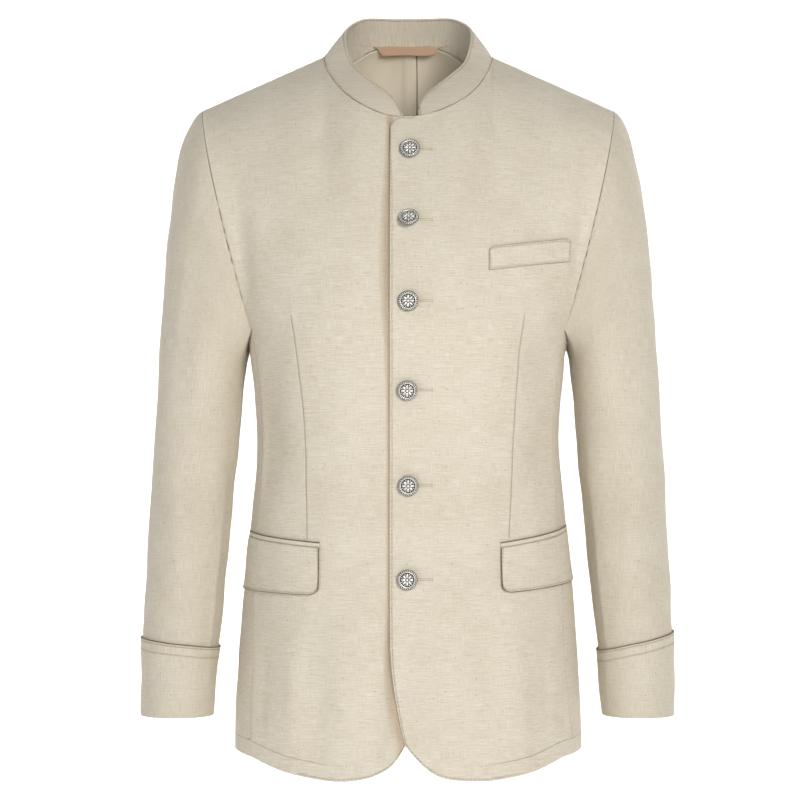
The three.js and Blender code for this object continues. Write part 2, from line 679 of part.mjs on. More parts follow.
/** Angle round the neck, 0 to 360 from centre front past the wearer's left, of a neck seam point. */
function neckAngle({ x, y }) {
  const reach = y < NECK_Y ? NECK_FRONT : NECK_BACK;
  return (Math.atan2(x / NECK_HALF, (NECK_Y - y) / reach) / DEGREE + 360) % 360;
}

/** Outward normal of the collar over the seam point at a neck angle. */
function collarNormal(point, angle) {
  const round = vector(Math.cos(angle * DEGREE), Math.sin(angle * DEGREE), 0);
  return round.cross(rimPoint(angle).sub(point)).normalize();
}

function collarGrid() {
  const [right, left] = SIDES;
  const edge = [...neckEdge(left), ...neckEdge(right).reverse().slice(1)];
  const angles = edge.map(({ point }) => neckAngle(point));
  stitch(edge, edge.map(({ point }, i) => ({ normal: collarNormal(point, angles[i]) })));
  const seam = edge.map(({ point, normal }, i) => ({ point, normal, angle: angles[i] }));
  const between = (a, b, t) => ({
    point: a.point.clone().lerp(b.point, t),
    normal: a.normal.clone().lerp(b.normal, t).normalize(),
    angle: mix(a.angle, b.angle, t),
  });
  const last = seam.length - 1;
  const columns = [
    seam[0],
    between(seam[0], seam[1], 0.35),
    ...seam.slice(1, last),
    between(seam[last], seam[last - 1], 0.35),
    seam[last],
  ];
  const place = ({ point, angle }, t) => {
    const lean = vector(Math.sin(angle * DEGREE), -Math.cos(angle * DEGREE), 0);
    return point.clone().lerp(rimPoint(angle), t).addScaledVector(lean, 7 * t * (1 - t));
  };
  const facing = ({ point, normal, angle }, t) => (t === 0 ? normal.clone() : collarNormal(point, angle));
  return {
    points: steps(4).map((t) => columns.map((column) => place(column, t))),
    normals: steps(4).map((t) => columns.map((column) => facing(column, t))),
    sign: 1,
  };
}

// ---- What lies on the cloth, in the frame of a garment side
/** Flap and jet share a strip of the body: across 0 inner end, 1 outer end at the body side. */
const pocketSurface = (flap, foot, top) => (across, up) => {
  const z = mix(foot(across), top(across), up);
  const half = read(BODY, "z", z).half;
  const angle = mix(angleAt(flap.x, half), angleAt(0.985 * half, half), across);
  const point = bodyPoint(angle, z);
  const lift = foldHeight(FOLDS, "front", flap.side, point.x, point.z);
  return point.addScaledVector(vector(Math.sin(angle * DEGREE), -Math.cos(angle * DEGREE), 0), lift);
};

function flapEdges(flap) {
  const top = (across) => mix(flap.innerTop, flap.outerTop, across);
  const corner = (across) => 17 * Math.max(0, 1 - across / 0.16) ** 2.4;
  const foot = (across) => mix(flap.innerFoot, flap.outerFoot, across) + corner(across);
  return { top, foot };
}

const layOn = (grid, thickness) => wall(grid, LAY_GAP, LAY_GAP + thickness);

function addPocket(flap, side) {
  const { top, foot } = flapEdges(flap);
  const across = [0, 0.03, 0.08, 0.16, ...steps(7, 0.16, 1).slice(1)];
  const jetFoot = (share) => top(share) + SEAM_GAP;
  const jetTop = (share) => top(share) + 6.2;
  const flapGrid = gridOf(pocketSurface(flap, foot, top), across, steps(4), side);
  const jetGrid = gridOf(pocketSurface(flap, jetFoot, jetTop), across, [0, 1], side);
  add(`${side.name}_pocket_flap`, layOn(flapGrid, CLOTH), "cloth");
  add(`${side.name}_pocket_jet`, layOn(jetGrid, TRIM_CLOTH), "cloth");
}

function addWelt(side) {
  const front = frontSurface(side);
  const columns = [0, 0.05, ...steps(7, 0.12, 0.88), 0.95, 1];
  const rounding = (across) => 4 * Math.max(0, 1 - 12 * Math.min(across, 1 - across)) ** 2;
  const place = (across, up) => {
    const foot = mix(WELT.foot0, WELT.foot1, across);
    const top = mix(WELT.top0, WELT.top1, across) - rounding(across);
    return seat(front, mix(WELT.x0, WELT.x1, across), mix(foot, top, up));
  };
  const spots = steps(3).map((up) => columns.map((across) => place(across, up)));
  const grid = {
    points: spots.map((row) => row.map(({ point }) => point)),
    normals: spots.map((row) => row.map(({ normal }) => normal)),
    sign: 1,
  };
  add("breast_welt", layOn(grid, CLOTH), "cloth");
}

function addCuff(side) {
  const columns = steps(LOOP, 0, LOOP).slice(0, LOOP);
  const top = (angle) => mix(side.cuffInner, side.cuffOuter, (1 + Math.cos(angle * DEGREE)) / 2);
  const band = (low, high) => (column, up) => {
    const angle = armAngle(column);
    return armPoint(angle, mix(low(angle), high(angle), up));
  };
  const end = () => CUFF_END_Z;
  const pipingFoot = (angle) => top(angle) + SEAM_GAP;
  const pipingTop = (angle) => top(angle) + 3.2;
  const cuff = gridOf(band(end, top), columns, steps(3), side);
  const piping = gridOf(band(pipingFoot, pipingTop), columns, [0, 1], side);
  add(`${side.name}_cuff`, wall(cuff, LAY_GAP, LAY_GAP + CLOTH, true), "cloth");
  add(`${side.name}_cuff_piping`, wall(piping, LAY_GAP, LAY_GAP + CLOTH + 0.7, true), "trim");
}

function addButton(number, row, front) {
  const { point, normal } = seat(front, row.x, row.z);
  const facing = normal.clone().applyAxisAngle(vector(1, 0, 0), row.tilt * DEGREE);
  const clear = Math.max(0, BUTTON_RADIUS * Math.sin(row.tilt * DEGREE) - 2.2);
  const profile = BUTTON_PROFILE.map(({ r, h }, i) => ({ r, h: i === 0 ? h : h + clear }));
  const geometry = turned(profile, 20);
  geometry.applyQuaternion(new THREE.Quaternion().setFromUnitVectors(vector(0, 0, 1), facing));
  const shank = 2.4 * Math.sin(row.tilt * DEGREE) + LAY_GAP;
  geometry.translate(...point.clone().addScaledVector(normal, shank));
  add(`button_${number}`, geometry, "button");
}

// ---- Inside the neck: angle round the neck, level down the back
/** Inside of the back below the neck seam; angle 180 at centre back. */
const backInside = (angle, level) => {
  const folded = angle > 180 ? 360 - angle : angle;
  const point = backBase(backShareAt(folded), level);
  return angle > 180 ? point.multiply(vector(-1, 1, 1)) : point;
};
const LINING_TOP = 0.99;
const LINING_LEVELS = [0.625, 0.75, 0.875, LINING_TOP];
const liningEdge = (level) => 152 - 62 * (LINING_TOP - level);

/** Height of the ease pleat beside centre back, inward, across x. */
const pleat = (x) => (x < -6 || x > 9 ? 0 : 3 * clamp((x + 6) / 11) * clamp((9 - x) / 1.6));

function addLining() {
  const places = [-1, -0.8, -0.6, -0.4, -0.24, -0.1, -0.05, 0.07, 0.24, 0.45, 0.65, 0.85, 1];
  const inside = (across, level) => backInside(180 + across * (180 - liningEdge(level)), level);
  const folded = raised(inside, (point) => -pleat(point.x));
  const centre = { sign: 1 };
  const grid = gridOf(folded, places, LINING_LEVELS, centre, inside);
  const depth = CLOTH + LINING_CLEAR;
  add("back_lining", wall(grid, -depth - LINING_CLOTH, -depth), "lining");
}

function addNeckFacing(side) {
  const inside = (across, level) => backInside(mix(97, liningEdge(level) - 0.8, across), level);
  const grid = gridOf(inside, steps(5), steps(4, 0.8, LINING_TOP), side);
  const depth = CLOTH + LINING_CLEAR;
  add(`${side.name}_neck_facing`, wall(grid, -depth - LINING_CLOTH, -depth), "lining");
}

function addHangerLoop() {
  const inside = (across, up) => {
    const half = mix(19, 26, up);
    return backInside(180 + half * across, mix(0.945, 0.988, up));
  };
  const slack = raised(inside, (point, across) => -3.7 * (1 - across * across));
  const grid = gridOf(slack, steps(8, -1, 1), [0, 1], { sign: 1 });
  const depth = CLOTH + LINING_CLEAR + LINING_CLOTH + 2.7 * LAY_GAP;
  add("hanger_loop", wall(grid, -depth - TRIM_CLOTH, -depth), "tape");
}

// ---- Assembly
const collar = collarGrid();
const seamEdges = { front: ["end", "top"], back: ["start", "end", "top"], side: ["start", "end", "top"] };
for (const side of SIDES) {
  const { front, back, side: under, sleeve } = panels.get(side.name);
  add(`${side.name}_front`, wall(trim(front, seamEdges.front), -CLOTH, 0), "cloth");
  add(`${side.name}_side_panel`, wall(trim(under, seamEdges.side), -CLOTH, 0), "cloth");
  add(`${side.name}_back`, wall(trim(back, seamEdges.back), -CLOTH, 0), "cloth");
  const top = trim(strip(sleeve, FRONT_ARM_SEAM, BACK_ARM_SEAM), ["start", "end", "top"]);
  const below = trim(strip(sleeve, BACK_ARM_SEAM, LOOP + FRONT_ARM_SEAM), ["start", "end", "top"]);
  add(`${side.name}_top_sleeve`, wall(top, -CLOTH, 0), "cloth");
  add(`${side.name}_under_sleeve`, wall(below, -CLOTH, 0), "cloth");
  addCuff(side);
  addNeckFacing(side);
}
add("collar", wall(trim(collar, ["foot"], 0.6), -COLLAR_CLOTH, 0), "cloth");
FLAPS.forEach((flap) => addPocket(flap, SIDES.find(({ sign }) => sign === flap.side)));
addWelt(SIDES[1]);
BUTTONS.forEach((row, i) => addButton(i + 1, row, frontSurface(SIDES[1])));
addLining();
addHangerLoop();

export default group;
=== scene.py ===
"""Looks of a linen jacket with a stand collar, hollow and held as if worn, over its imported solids.

Lengths are millimetres up to the mesh builders, which turn them into metres. +Z is up, the fronts
face -Y and the wearer's left is +X. Surfaces are written for the side where x grows outward.
"""

import logging
import math
from dataclasses import dataclass, field
from enum import Enum
from typing import Optional, Sequence

import bpy
import numpy as np
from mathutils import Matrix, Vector


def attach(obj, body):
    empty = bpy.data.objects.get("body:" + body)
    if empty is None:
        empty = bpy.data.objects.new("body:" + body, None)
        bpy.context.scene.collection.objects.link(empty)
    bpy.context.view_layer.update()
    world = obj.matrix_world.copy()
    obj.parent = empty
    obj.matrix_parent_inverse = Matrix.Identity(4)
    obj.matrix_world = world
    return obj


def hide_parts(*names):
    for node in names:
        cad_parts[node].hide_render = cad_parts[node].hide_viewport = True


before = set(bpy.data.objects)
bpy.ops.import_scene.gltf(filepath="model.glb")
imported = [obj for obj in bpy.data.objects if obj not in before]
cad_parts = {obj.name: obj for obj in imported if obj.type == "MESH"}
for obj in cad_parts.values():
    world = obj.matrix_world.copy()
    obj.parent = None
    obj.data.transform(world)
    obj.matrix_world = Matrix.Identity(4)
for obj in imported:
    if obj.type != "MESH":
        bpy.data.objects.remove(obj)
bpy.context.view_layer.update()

LOG = logging.getLogger("linen_jacket")

Values = float | np.ndarray
Lines = tuple[np.ndarray, np.ndarray]
Material = bpy.types.Material
Object = bpy.types.Object
Tree = bpy.types.NodeTree
Socket = bpy.types.NodeSocket

# ---- Driving sizes, mm
CLOTH = 1.8
COLLAR_CLOTH = 2.4
TRIM_CLOTH = 1.4
LINING_CLOTH = 1.2
SEAM_GAP = 0.2
LAY_GAP = 0.4
LINING_CLEAR = 1.5
SQUARENESS = 2.35
UNDERARM_Z = -290.0
NECK_HALF = 90.0
NECK_Y = 8.0
NECK_FRONT = 83.0
NECK_BACK = 77.0
NECK_SIDE_Z = 4.2
NECK_DROP = 71.7
LAP_OUT = 19.2
LAP_SHARE = 0.2
FRONT_NECK_SHARE = 0.5024
TIP_X, TIP_Y, TIP_Z = 220.0, 5.0, -54.0
BACK_NECK_SHARE = 1 - NECK_HALF / TIP_X
ARM_TOP_Z = -330.0
SLEEVE_END_Z = -694.0
CUFF_END_Z = -697.0
ARM_SQUARENESS = 2.2
BUTTON_RADIUS = 10.6
EDGE_STITCH = 2.4
STITCHED_HEM = 116.0
HEM_FOLD = 17.0
HEM_THIN = 3.2
CUFF_STITCH = 8.8
COLLAR_STITCH = 2.6
FLAP_STITCH = 2.2
WELT_STITCH = 2.0
CHEST_ROWS = 8
SIDE_COLUMNS = 5
LOOP = 2 * CHEST_ROWS + SIDE_COLUMNS
FRONT_ARM_SEAM = -1
BACK_ARM_SEAM = 14
HEM_LEVEL = -740.0
SWING_START = -600
SWING_LENGTH = 135
FAR = 99.0
CAMERA = (-8.6, -3500.0, -363.8)
VIEW_WIDTH = 856.0


# ---- Small helpers
def mix(a: Values, b: Values, t: Values) -> Values:
    """Value between a and b at share t of the way."""
    return a + (b - a) * t


def ease(t: Values) -> Values:
    """Smooth step from 0 to 1, flat beyond both ends."""
    t = np.clip(t, 0, 1)
    return t * t * (3 - 2 * t)


def cubic(a: Values, slope_a: Values, b: Values, slope_b: Values, t: Values) -> Values:
    """Cubic from a to b with slopes at both ends, at share t.

    Args:
        a: Value at t = 0.
        slope_a: Slope there.
        b: Value at t = 1.
        slope_b: Slope there.
        t: Share of the way.

    Returns:
        The value at t.
    """
    u = 1 - t
    ends = a * u * u * (1 + 2 * t) + b * t * t * (3 - 2 * t)
    return ends + slope_a * t * u * u - slope_b * t * t * u


def signed_power(value: Values, power: float) -> Values:
    """Power of the size of a value, with its sign kept."""
    return np.sign(value) * np.abs(value) ** power


def unit(vectors: np.ndarray) -> np.ndarray:
    """Vectors brought to length 1 along the last axis."""
    return vectors / (np.linalg.norm(vectors, axis=-1, keepdims=True) + 1e-12)


def linear(colour: str) -> tuple[float, float, float, float]:
    """Linear RGBA of an sRGB hex colour such as "#DDD3BC"."""
    channels = [int(colour[i : i + 2], 16) / 255 for i in (1, 3, 5)]
    return (*(c / 12.92 if c <= 0.04045 else ((c + 0.055) / 1.055) ** 2.4 for c in channels), 1.0)


class Table:
    """Short table with named columns, read smoothly along its first column."""

    def __init__(self, names: str, *rows: Sequence[float]) -> None:
        """Keeps the rows.

        Args:
            names: Column names; the first is the key.
            rows: Rows from low to high key.
        """
        data = np.array(rows, float)
        self.names = names.split()[1:]
        self.key = data[:, 0]
        self.values = data[:, 1:]
        row = np.arange(len(data))
        low = np.maximum(row - 1, 0)
        high = np.minimum(row + 1, len(data) - 1)
        span = (self.key[high] - self.key[low])[:, None]
        self.slopes = (self.values[high] - self.values[low]) / span

    def __call__(self, key: Values) -> dict[str, np.ndarray]:
        """All columns at keys.

        Args:
            key: Number or array.

        Returns:
            Arrays of the shape of key, by column name.
        """
        key = np.asarray(key, float)
        i = np.clip(np.searchsorted(self.key, key, side="right") - 1, 0, len(self.key) - 2)
        span = (self.key[i + 1] - self.key[i])[..., None]
        t = np.clip((key - self.key[i])[..., None] / span, 0, 1)
        low, high = self.slopes[i] * span, self.slopes[i + 1] * span
        found = cubic(self.values[i], low, self.values[i + 1], high, t)
        return {name: found[..., n] for n, name in enumerate(self.names)}


BODY = Table(
    "z half front back",
    (-760, 186, 145, 138),
    (-735, 185.5, 144, 137),
    (-670, 183, 141, 134),
    (-610, 179, 138, 130),
    (-525, 171.5, 133, 123),
    (-480, 166, 131, 119),
    (-405, 161, 131, 119),
    (-330, 166.5, 139, 129),
    (-290, 172.5, 142, 134),
)
FRONT_EDGE = Table("z x", (-718, -3.5), (-693, -9), (-652, -16), (-610, -19), (-290, -19))
# Hems of the fronts by outward x, rounded up to the front edge; by side sign.
HEM_SIDE = ((86, -755.8), (125, -749.5), (149, -742.5), (164.5, -737), (178, -735))
FRONT_HEMS = {
    1: Table(
        "x z",
        *((-3.5, -718.3), (5, -728.9), (11.1, -735.7), (15.3, -740)),
        *((25.6, -747.8), (34.2, -751.8), (49.6, -754.9), (70, -756)),
        *HEM_SIDE,
    ),
    -1: Table(
        "x z",
        *((-3.5, -706), (3.5, -719.8), (11.7, -733.2)),
        *((21.9, -743.2), (39.4, -751.8), (63, -756.2)),
        *HEM_SIDE,
    ),
}
RISE = "share sx sy sz ex ey ez"
FRONT_RISE = Table(
    RISE,
    (0.2, 0, 0, 235, 0, 125, 150),
    (0.27, 0, 0, 235, 0, 125, 150),
    (0.5, 0, -22, 270, 0, 235, 75),
    (0.75, 15, -30, 215, 0, 255, 60),
    (1, 50, -38, 140, 0, 262, 75),
)
BACK_RISE = Table(
    RISE,
    (0, 40, 45, 120, 2, -262, 75),
    (0.3, 5, 42, 310, -20, -290, 35),
    (0.59, 0, 30, 380, 0, -280, 0),
    (0.8, 0, 20, 365, 0, -210, 45),
    (1, 0, 12, 340, 0, -150, 100),
)
SEAM_SHARES = Table(
    "z front back", (-735, 0.885, 0.86), (-600, 0.915, 0.88), (-480, 0.95, 0.9), (-290, 0.955, 0.93)
)
ARM = Table(
    "z outer inner centre deep",
    (-697, 280.6, 208.3, -28, 51),
    (-640, 281, 203.6, -20, 52.5),
    (-600, 281.6, 199, -14, 54),
    (-530, 278.5, 192, -5, 56.5),
    (-460, 274.7, 186, 2, 59),
    (-390, 270.3, 179, 4, 62),
    (-330, 266.8, 173, 4, 66),
)
COLLAR_RIM = Table(
    "angle reach z",
    (5, 80, -62),
    (11, 73, -48),
    (20, 67, -37.5),
    (42, 67.3, -19.4),
    (62, 67.5, -3.5),
    (76, 67.5, 14),
    (97, 67.5, 33.5),
    (122, 67.5, 46.5),
    (140, 67.5, 51.8),
    (180, 67, 53),
)


class Face(Enum):
    """Faces that creases lie on; across is outward x, on a sleeve the angle round the arm."""

    FRONT = "front"
    BACK = "back"
    SLEEVE = "sleeve"


@dataclass(frozen=True)
class Side:
    """One side of the garment."""

    name: str
    sign: int
    collar_end: float
    lap: float
    drop: float
    cuff_outer: float
    cuff_inner: float
    swing: float

    def mirror(self, points: np.ndarray) -> np.ndarray:
        """Points brought to this side."""
        return points * np.array([self.sign, 1, 1])

    @property
    def lap_x(self) -> float:
        """Outward x of the collar end on the neck seam."""
        return NECK_HALF * math.sin(math.radians(self.collar_end))


RIGHT = Side("right", -1, 3.6, 0.0, 0.014, -618.0, -628.0, 0.01)
LEFT = Side("left", 1, 7.1, 1.0, 0.0, -611.5, -631.5, 0.06)
SIDES = (RIGHT, LEFT)

# Creases by face and side sign (0 for both sides): across0, z0, across1, z1, bow, width, depth.
# Troughs are negative. On a face the broad folds come first, then the finer ones.
CREASES = {
    (Face.FRONT, 1): (
        (137, -270, 142, -505, 0, 15, -3.6), (112, -590, 122, -775, 0, 13, 3.4),
        (82, -560, 86, -770, 0, 14, -2.6), (190, -120, 178, -290, 0, 12, -3.4),
        (18, -150, 74, -168, 3, 4, -0.5), (20, -243, 62, -236, -2, 4, -0.45),
        (22, -330, 80, -344, 3, 5, -0.5), (24, -496, 78, -508, -3, 5, 0.5),
        (122, -255, 118, -300, 0, 4, 0.9), (100, -430, 88, -500, -2, 6, -0.6),
        (168, -96, 120, -150, 4, 12, -0.9), (176, -238, 140, -262, 4, 7, -0.8),
        (142, -596, 150, -742, 2, 7, -1.5), (96, -612, 101, -748, -2, 6, 1.0),
        (60, -640, 54, -746, -2, 9, -0.9), (-19, -40, -19, -440, 0, 6.5, 3.0),
        (-18, -500, -10, -880, 0, 8, 3.4),
    ),
    (Face.FRONT, -1): (
        (140, -280, 144, -500, 0, 14, -3.2), (118, -585, 124, -775, 0, 12, 3.2),
        (90, -570, 96, -770, 0, 13, -2.4), (182, -115, 168, -290, 0, 13, -3.8),
        (27, -120, 25, -320, 1, 6, -1.5), (30, -560, 24, -715, 2, 8, -1.9),
        (52, -585, 44, -742, 3, 10, 1.1), (30, -214, 78, -228, -3, 5, -0.55),
        (28, -395, 84, -380, 3, 5, -0.5), (32, -505, 76, -492, 2, 4, -0.45),
        (123, -252, 117, -302, 0, 4, 0.9), (96, -286, 82, -352, 2, 6, -0.6),
        (96, -445, 86, -512, 2, 6, 0.6), (170, -90, 128, -160, 5, 13, -1.0),
        (150, -210, 110, -248, -4, 9, 0.8), (146, -600, 152, -738, -2, 7, -1.6),
        (72, -600, 66, -748, 2, 8, 1.0), (104, -600, 108, -690, 1, 5, -0.9),
        (30, -545, 36, -745, 0, 11, -2.0), (19, -40, 19, -440, 0, 6.5, 3.0),
        (18, -500, 10, -880, 0, 8, 3.4),
    ),
    (Face.FRONT, 0): (
        (150, -420, 120, -440, 3, 6, -0.5),
    ),
    (Face.BACK, 1): (
        (70, -330, 60, -560, 0, 24, -3.2), (118, -540, 126, -760, 0, 18, 3.6),
        (158, -110, 144, -300, 0, 17, -3.6), (30, -455, 118, -470, -5, 8, 0.8),
        (40, -600, 46, -740, 3, 11, -1.4), (140, -180, 108, -240, 5, 10, -0.9),
        (84, -620, 90, -742, 2, 7, 1.0),
    ),
    (Face.BACK, -1): (
        (76, -320, 68, -540, 0, 22, -3.6), (108, -560, 118, -755, 0, 20, 3.2),
        (160, -100, 148, -290, 0, 18, -3.2), (24, -462, 110, -448, 4, 9, -0.8),
        (48, -590, 42, -742, -3, 12, -1.5), (138, -190, 112, -260, -5, 11, -1.0),
        (90, -630, 84, -740, -2, 8, 1.1),
    ),
    (Face.BACK, 0): (
        (12, -420, 96, -405, 5, 8, -0.9), (20, -52, 84, -66, -6, 9, -1.0),
    ),
    (Face.SLEEVE, 1): (
        (62, -110, 76, -420, 0, 17, -4.2), (118, -340, 102, -560, 0, 18, -3.8),
        (82, -440, 100, -610, 0, 16, 3.2), (286, -120, 274, -400, 0, 18, -3.8),
        (250, -420, 262, -600, 0, 19, 3.4), (34, -160, 82, -222, -4, 7, -1.2),
        (28, -238, 90, -290, 5, 8, 1.1), (52, -352, 122, -372, 4, 6, -1.1),
        (44, -388, 112, -415, -5, 7, -1.2), (66, -430, 130, -446, 3, 6, 1.1),
        (26, -505, 66, -590, -4, 9, -1.1), (92, -540, 128, -600, 4, 8, 1.0),
        (76, -95, 70, -220, -3, 4, -0.9), (98, -110, 96, -285, 3, 5, -1.1),
        (114, -135, 112, -270, -2, 4, 0.8), (126, -160, 124, -340, 2, 5, -0.9),
        (54, -180, 50, -330, -3, 5, -0.9), (143, -380, 141, -700, 0, 5, 1.4),
    ),
    (Face.SLEEVE, -1): (
        (66, -120, 76, -440, 0, 16, -4.4), (112, -330, 98, -540, 0, 17, -3.4),
        (78, -450, 98, -620, 0, 15, 3.4), (290, -110, 280, -410, 0, 19, -3.4),
        (246, -430, 260, -610, 0, 18, 3.6), (30, -150, 78, -205, 4, 7, -1.3),
        (34, -215, 92, -262, -5, 7, 1.1), (22, -262, 84, -330, 5, 8, -1.2),
        (60, -372, 128, -398, -4, 6, -1.2), (48, -410, 118, -432, 5, 7, 1.1),
        (58, -448, 132, -462, -3, 6, -1.2), (30, -520, 72, -600, 4, 9, -1.2),
        (72, -100, 62, -235, 3, 4, -0.9), (92, -115, 88, -300, -3, 5, -1.1),
        (108, -130, 104, -260, 2, 4, 0.8), (122, -150, 126, -330, -2, 5, -1.0),
        (50, -190, 48, -350, 3, 5, -0.9), (84, -290, 92, -430, -2, 5, 0.9),
        (143, -400, 141, -700, 0, 5, 1.6),
    ),
    (Face.SLEEVE, 0): (
        (300, -380, 228, -400, 5, 7, -1.2), (306, -425, 236, -436, -4, 7, 1.1),
        (320, -180, 270, -230, 5, 8, -1.2), (330, -500, 290, -585, -4, 9, -1.2),
    ),
}
# Mm round the arm for one degree of its angle.
ARM_DEGREE = 0.85

# Darts of the fronts, (outward x, z) from the top down, by side sign.
DARTS = {
    1: ((120.3, -275.5), (114.6, -319.6), (109.5, -398.7), (104.4, -508)),
    -1: ((121.6, -275.5), (115.4, -319.6), (109.2, -372), (106.2, -424.4), (105.1, -508)),
}
FLAPS = Table(
    "side x inner_top outer_top inner_foot outer_foot",
    (-1, 91.3, -517, -508, -566, -563.5),
    (1, 95, -517, -502, -564, -554.5),
)
LOOP_Z = (12.2, 21.9)
COLLAR_ROW_Z = 22.2
WELT_X = (83.0, 168.5)
WELT_TOP = (-205.5, -194.5)
WELT_FOOT = (-230.0, -219.0)
# Buttons: z, x, tilt in degrees.
BUTTONS = (
    (-103, 1.7, 4),
    (-177.5, 0.7, -19),
    (-262, -0.3, 6),
    (-353.5, -1.3, 5),
    (-452, -0.3, 4),
    (-548.5, -1.3, 6),
)

# Turned profile of a button above its shank: radius, height, darkness (1 dark, 0 bright). The
# darkness is tarnish in the hollows and painted shade on the outer side wall and underneath.
BUTTON_PROFILE = (
    *((2.4, 1.2, 1), (9.4, 2, 0.8), (10.3, 2.6, 1.0), (10.6, 3.2, 1.0), (10.3, 3.8, 0.6)),
    *((9.9, 4.1, 0.8), (8.5, 4.1, 1.0), (8.25, 4.6, 0.2), (7.95, 4.75, 0.0), (7.6, 4.5, 0.2)),
    *((7.3, 4.0, 1.0), (5.5, 4.3, 1.0), (3.0, 4.7, 0.9), (0.01, 4.8, 0.8)),
)
# Two rings of petals: reach, half axes, turn as a share of the pitch, darkness of their foot from
# tarnish and painted shade.
PETALS = (
    (4.1, (2.5, 1.25, 0.9), 0.0, -0.1),
    (6.0, (1.1, 0.55, 0.6), 0.5, 0.0),
)


# ---- Body surfaces
def angle_at(x: Values, half: Values) -> Values:
    """Angle round the body, 0 at centre front, where a ring of half width reaches x."""
    return np.degrees(np.arcsin(signed_power(x / half, SQUARENESS / 2)))


def body_point(angle: Values, z: Values) -> np.ndarray:
    """Points of the body rings.

    Args:
        angle: Angles round the body in degrees, 0 at centre front.
        z: Heights.

    Returns:
        One point for each angle and height.
    """
    angle, z = np.broadcast_arrays(np.asarray(angle, float), np.asarray(z, float))
    ring = BODY(z)
    sine, cosine = np.sin(np.radians(angle)), np.cos(np.radians(angle))
    depth = np.where(cosine > 0, ring["front"], ring["back"])
    x = ring["half"] * signed_power(sine, 2 / SQUARENESS)
    return np.stack([x, -depth * signed_power(cosine, 2 / SQUARENESS), z], -1)


def seam_angle(z: Values, back: bool, swing: float = 0.0) -> Values:
    """Angle round the body of the side panel's front or back seam.

    Args:
        z: Heights.
        back: True for the back seam.
        swing: Growth of its share of the half width towards the hem.

    Returns:
        Angles in degrees.
    """
    out = np.clip((SWING_START - z) / SWING_LENGTH, 0, 1.1) ** 2
    share = SEAM_SHARES(z)["back" if back else "front"] + swing * out
    angle = np.degrees(np.arcsin(share ** (SQUARENESS / 2)))
    return 180 - angle if back else angle


def ridge_point(x: Values, middle: tuple[float, float]) -> np.ndarray:
    """Ridge over the shoulder, carried on over the neck opening.

    Args:
        x: Outward x.
        middle: Its (y, z) at the middle of the opening.

    Returns:
        Points of the ridge.
    """
    x = np.asarray(x, float)
    beyond = (x - NECK_HALF) / (TIP_X - NECK_HALF)
    share = np.abs(x) / NECK_HALF
    slope = (TIP_Z - NECK_SIDE_Z) / (TIP_X - NECK_HALF) * NECK_HALF
    outside = x > NECK_HALF
    y = np.where(outside, mix(NECK_Y, TIP_Y, beyond), mix(NECK_Y, middle[0], (1 - share**3) ** 2))
    z = np.where(
        outside, mix(NECK_SIDE_Z, TIP_Z, beyond), cubic(middle[1], 0, NECK_SIDE_Z, slope, share)
    )
    return np.stack([x, y, z], -1)


def neck_hollow(x: Values) -> Values:
    """Share of the neck opening's depth at x."""
    return np.sqrt(np.maximum(0, 1 - (x / NECK_HALF) ** 2))


@dataclass
class Panel:
    """A body panel whose columns rise from the chest level to the ridge and stop at the neck."""

    rise: Table
    middle: tuple[float, float]

    def place(self, share: Values, z: Values) -> np.ndarray:
        """Points on the rings below the chest."""
        raise NotImplementedError

    def ridge_x(self, share: Values) -> Values:
        """Where on the ridge the columns end."""
        raise NotImplementedError

    def in_neck(self, point: np.ndarray) -> np.ndarray:
        """True where points lie in the neck opening."""
        raise NotImplementedError

    def hem(self, share: Values) -> Values:
        """Height of the hem."""
        raise NotImplementedError

    def cut(self, share: Values) -> Values:
        """Share of the chest's height cut off a column."""
        return np.zeros_like(share)

    def reaches_neck(self, share: Values) -> np.ndarray:
        """True for columns that end on the neck seam."""
        raise NotImplementedError

    def column(self, share: np.ndarray, level: np.ndarray) -> np.ndarray:
        """Points of the whole columns over the chest.

        Args:
            share: Shares across the panel, 0 to 1.
            level: Levels, 0 at the chest and 1 at the top.

        Returns:
            One point for each share and level.
        """
        start = self.place(share, np.full_like(share, UNDERARM_Z))
        end = ridge_point(self.ridge_x(share), self.middle)
        rise = self.rise(share)
        away = np.stack([rise["sx"], rise["sy"], rise["sz"]], -1)
        arriving = np.stack([rise["ex"], rise["ey"], rise["ez"]], -1)
        return cubic(start, away, end, arriving, level[..., None])

    def top(self, share: np.ndarray) -> np.ndarray:
        """Highest level of each column.

        Args:
            share: Shares across the panel, 0 to 1.

        Returns:
            1 on the shoulder, and less where the neck seam ends the column.
        """
        low, high = np.full_like(share, 0.5), np.ones_like(share)
        for _ in range(26):
            middle = (low + high) / 2
            inside = self.in_neck(self.column(share, middle))
            high = np.where(inside, middle, high)
            low = np.where(inside, low, middle)
        return np.where(self.reaches_neck(share), low * (1 - np.maximum(0, self.cut(share))), 1.0)

    def __call__(self, shares: Sequence[float], levels: Sequence[float]) -> np.ndarray:
        """The panel's surface.

        Args:
            shares: Shares across the panel, one for each column.
            levels: Levels, one for each row.

        Returns:
            Points, a row for each level and a column for each share.
        """
        shares, levels = np.asarray(shares, float), np.asarray(levels, float)
        share, level = np.meshgrid(shares, levels)
        short = level * (1 - (1 - self.top(shares))[None, :] * level * level)
        below = self.place(share, mix(self.hem(share), UNDERARM_Z, level + 1))
        return np.where((level > 0)[..., None], self.column(share, short), below)


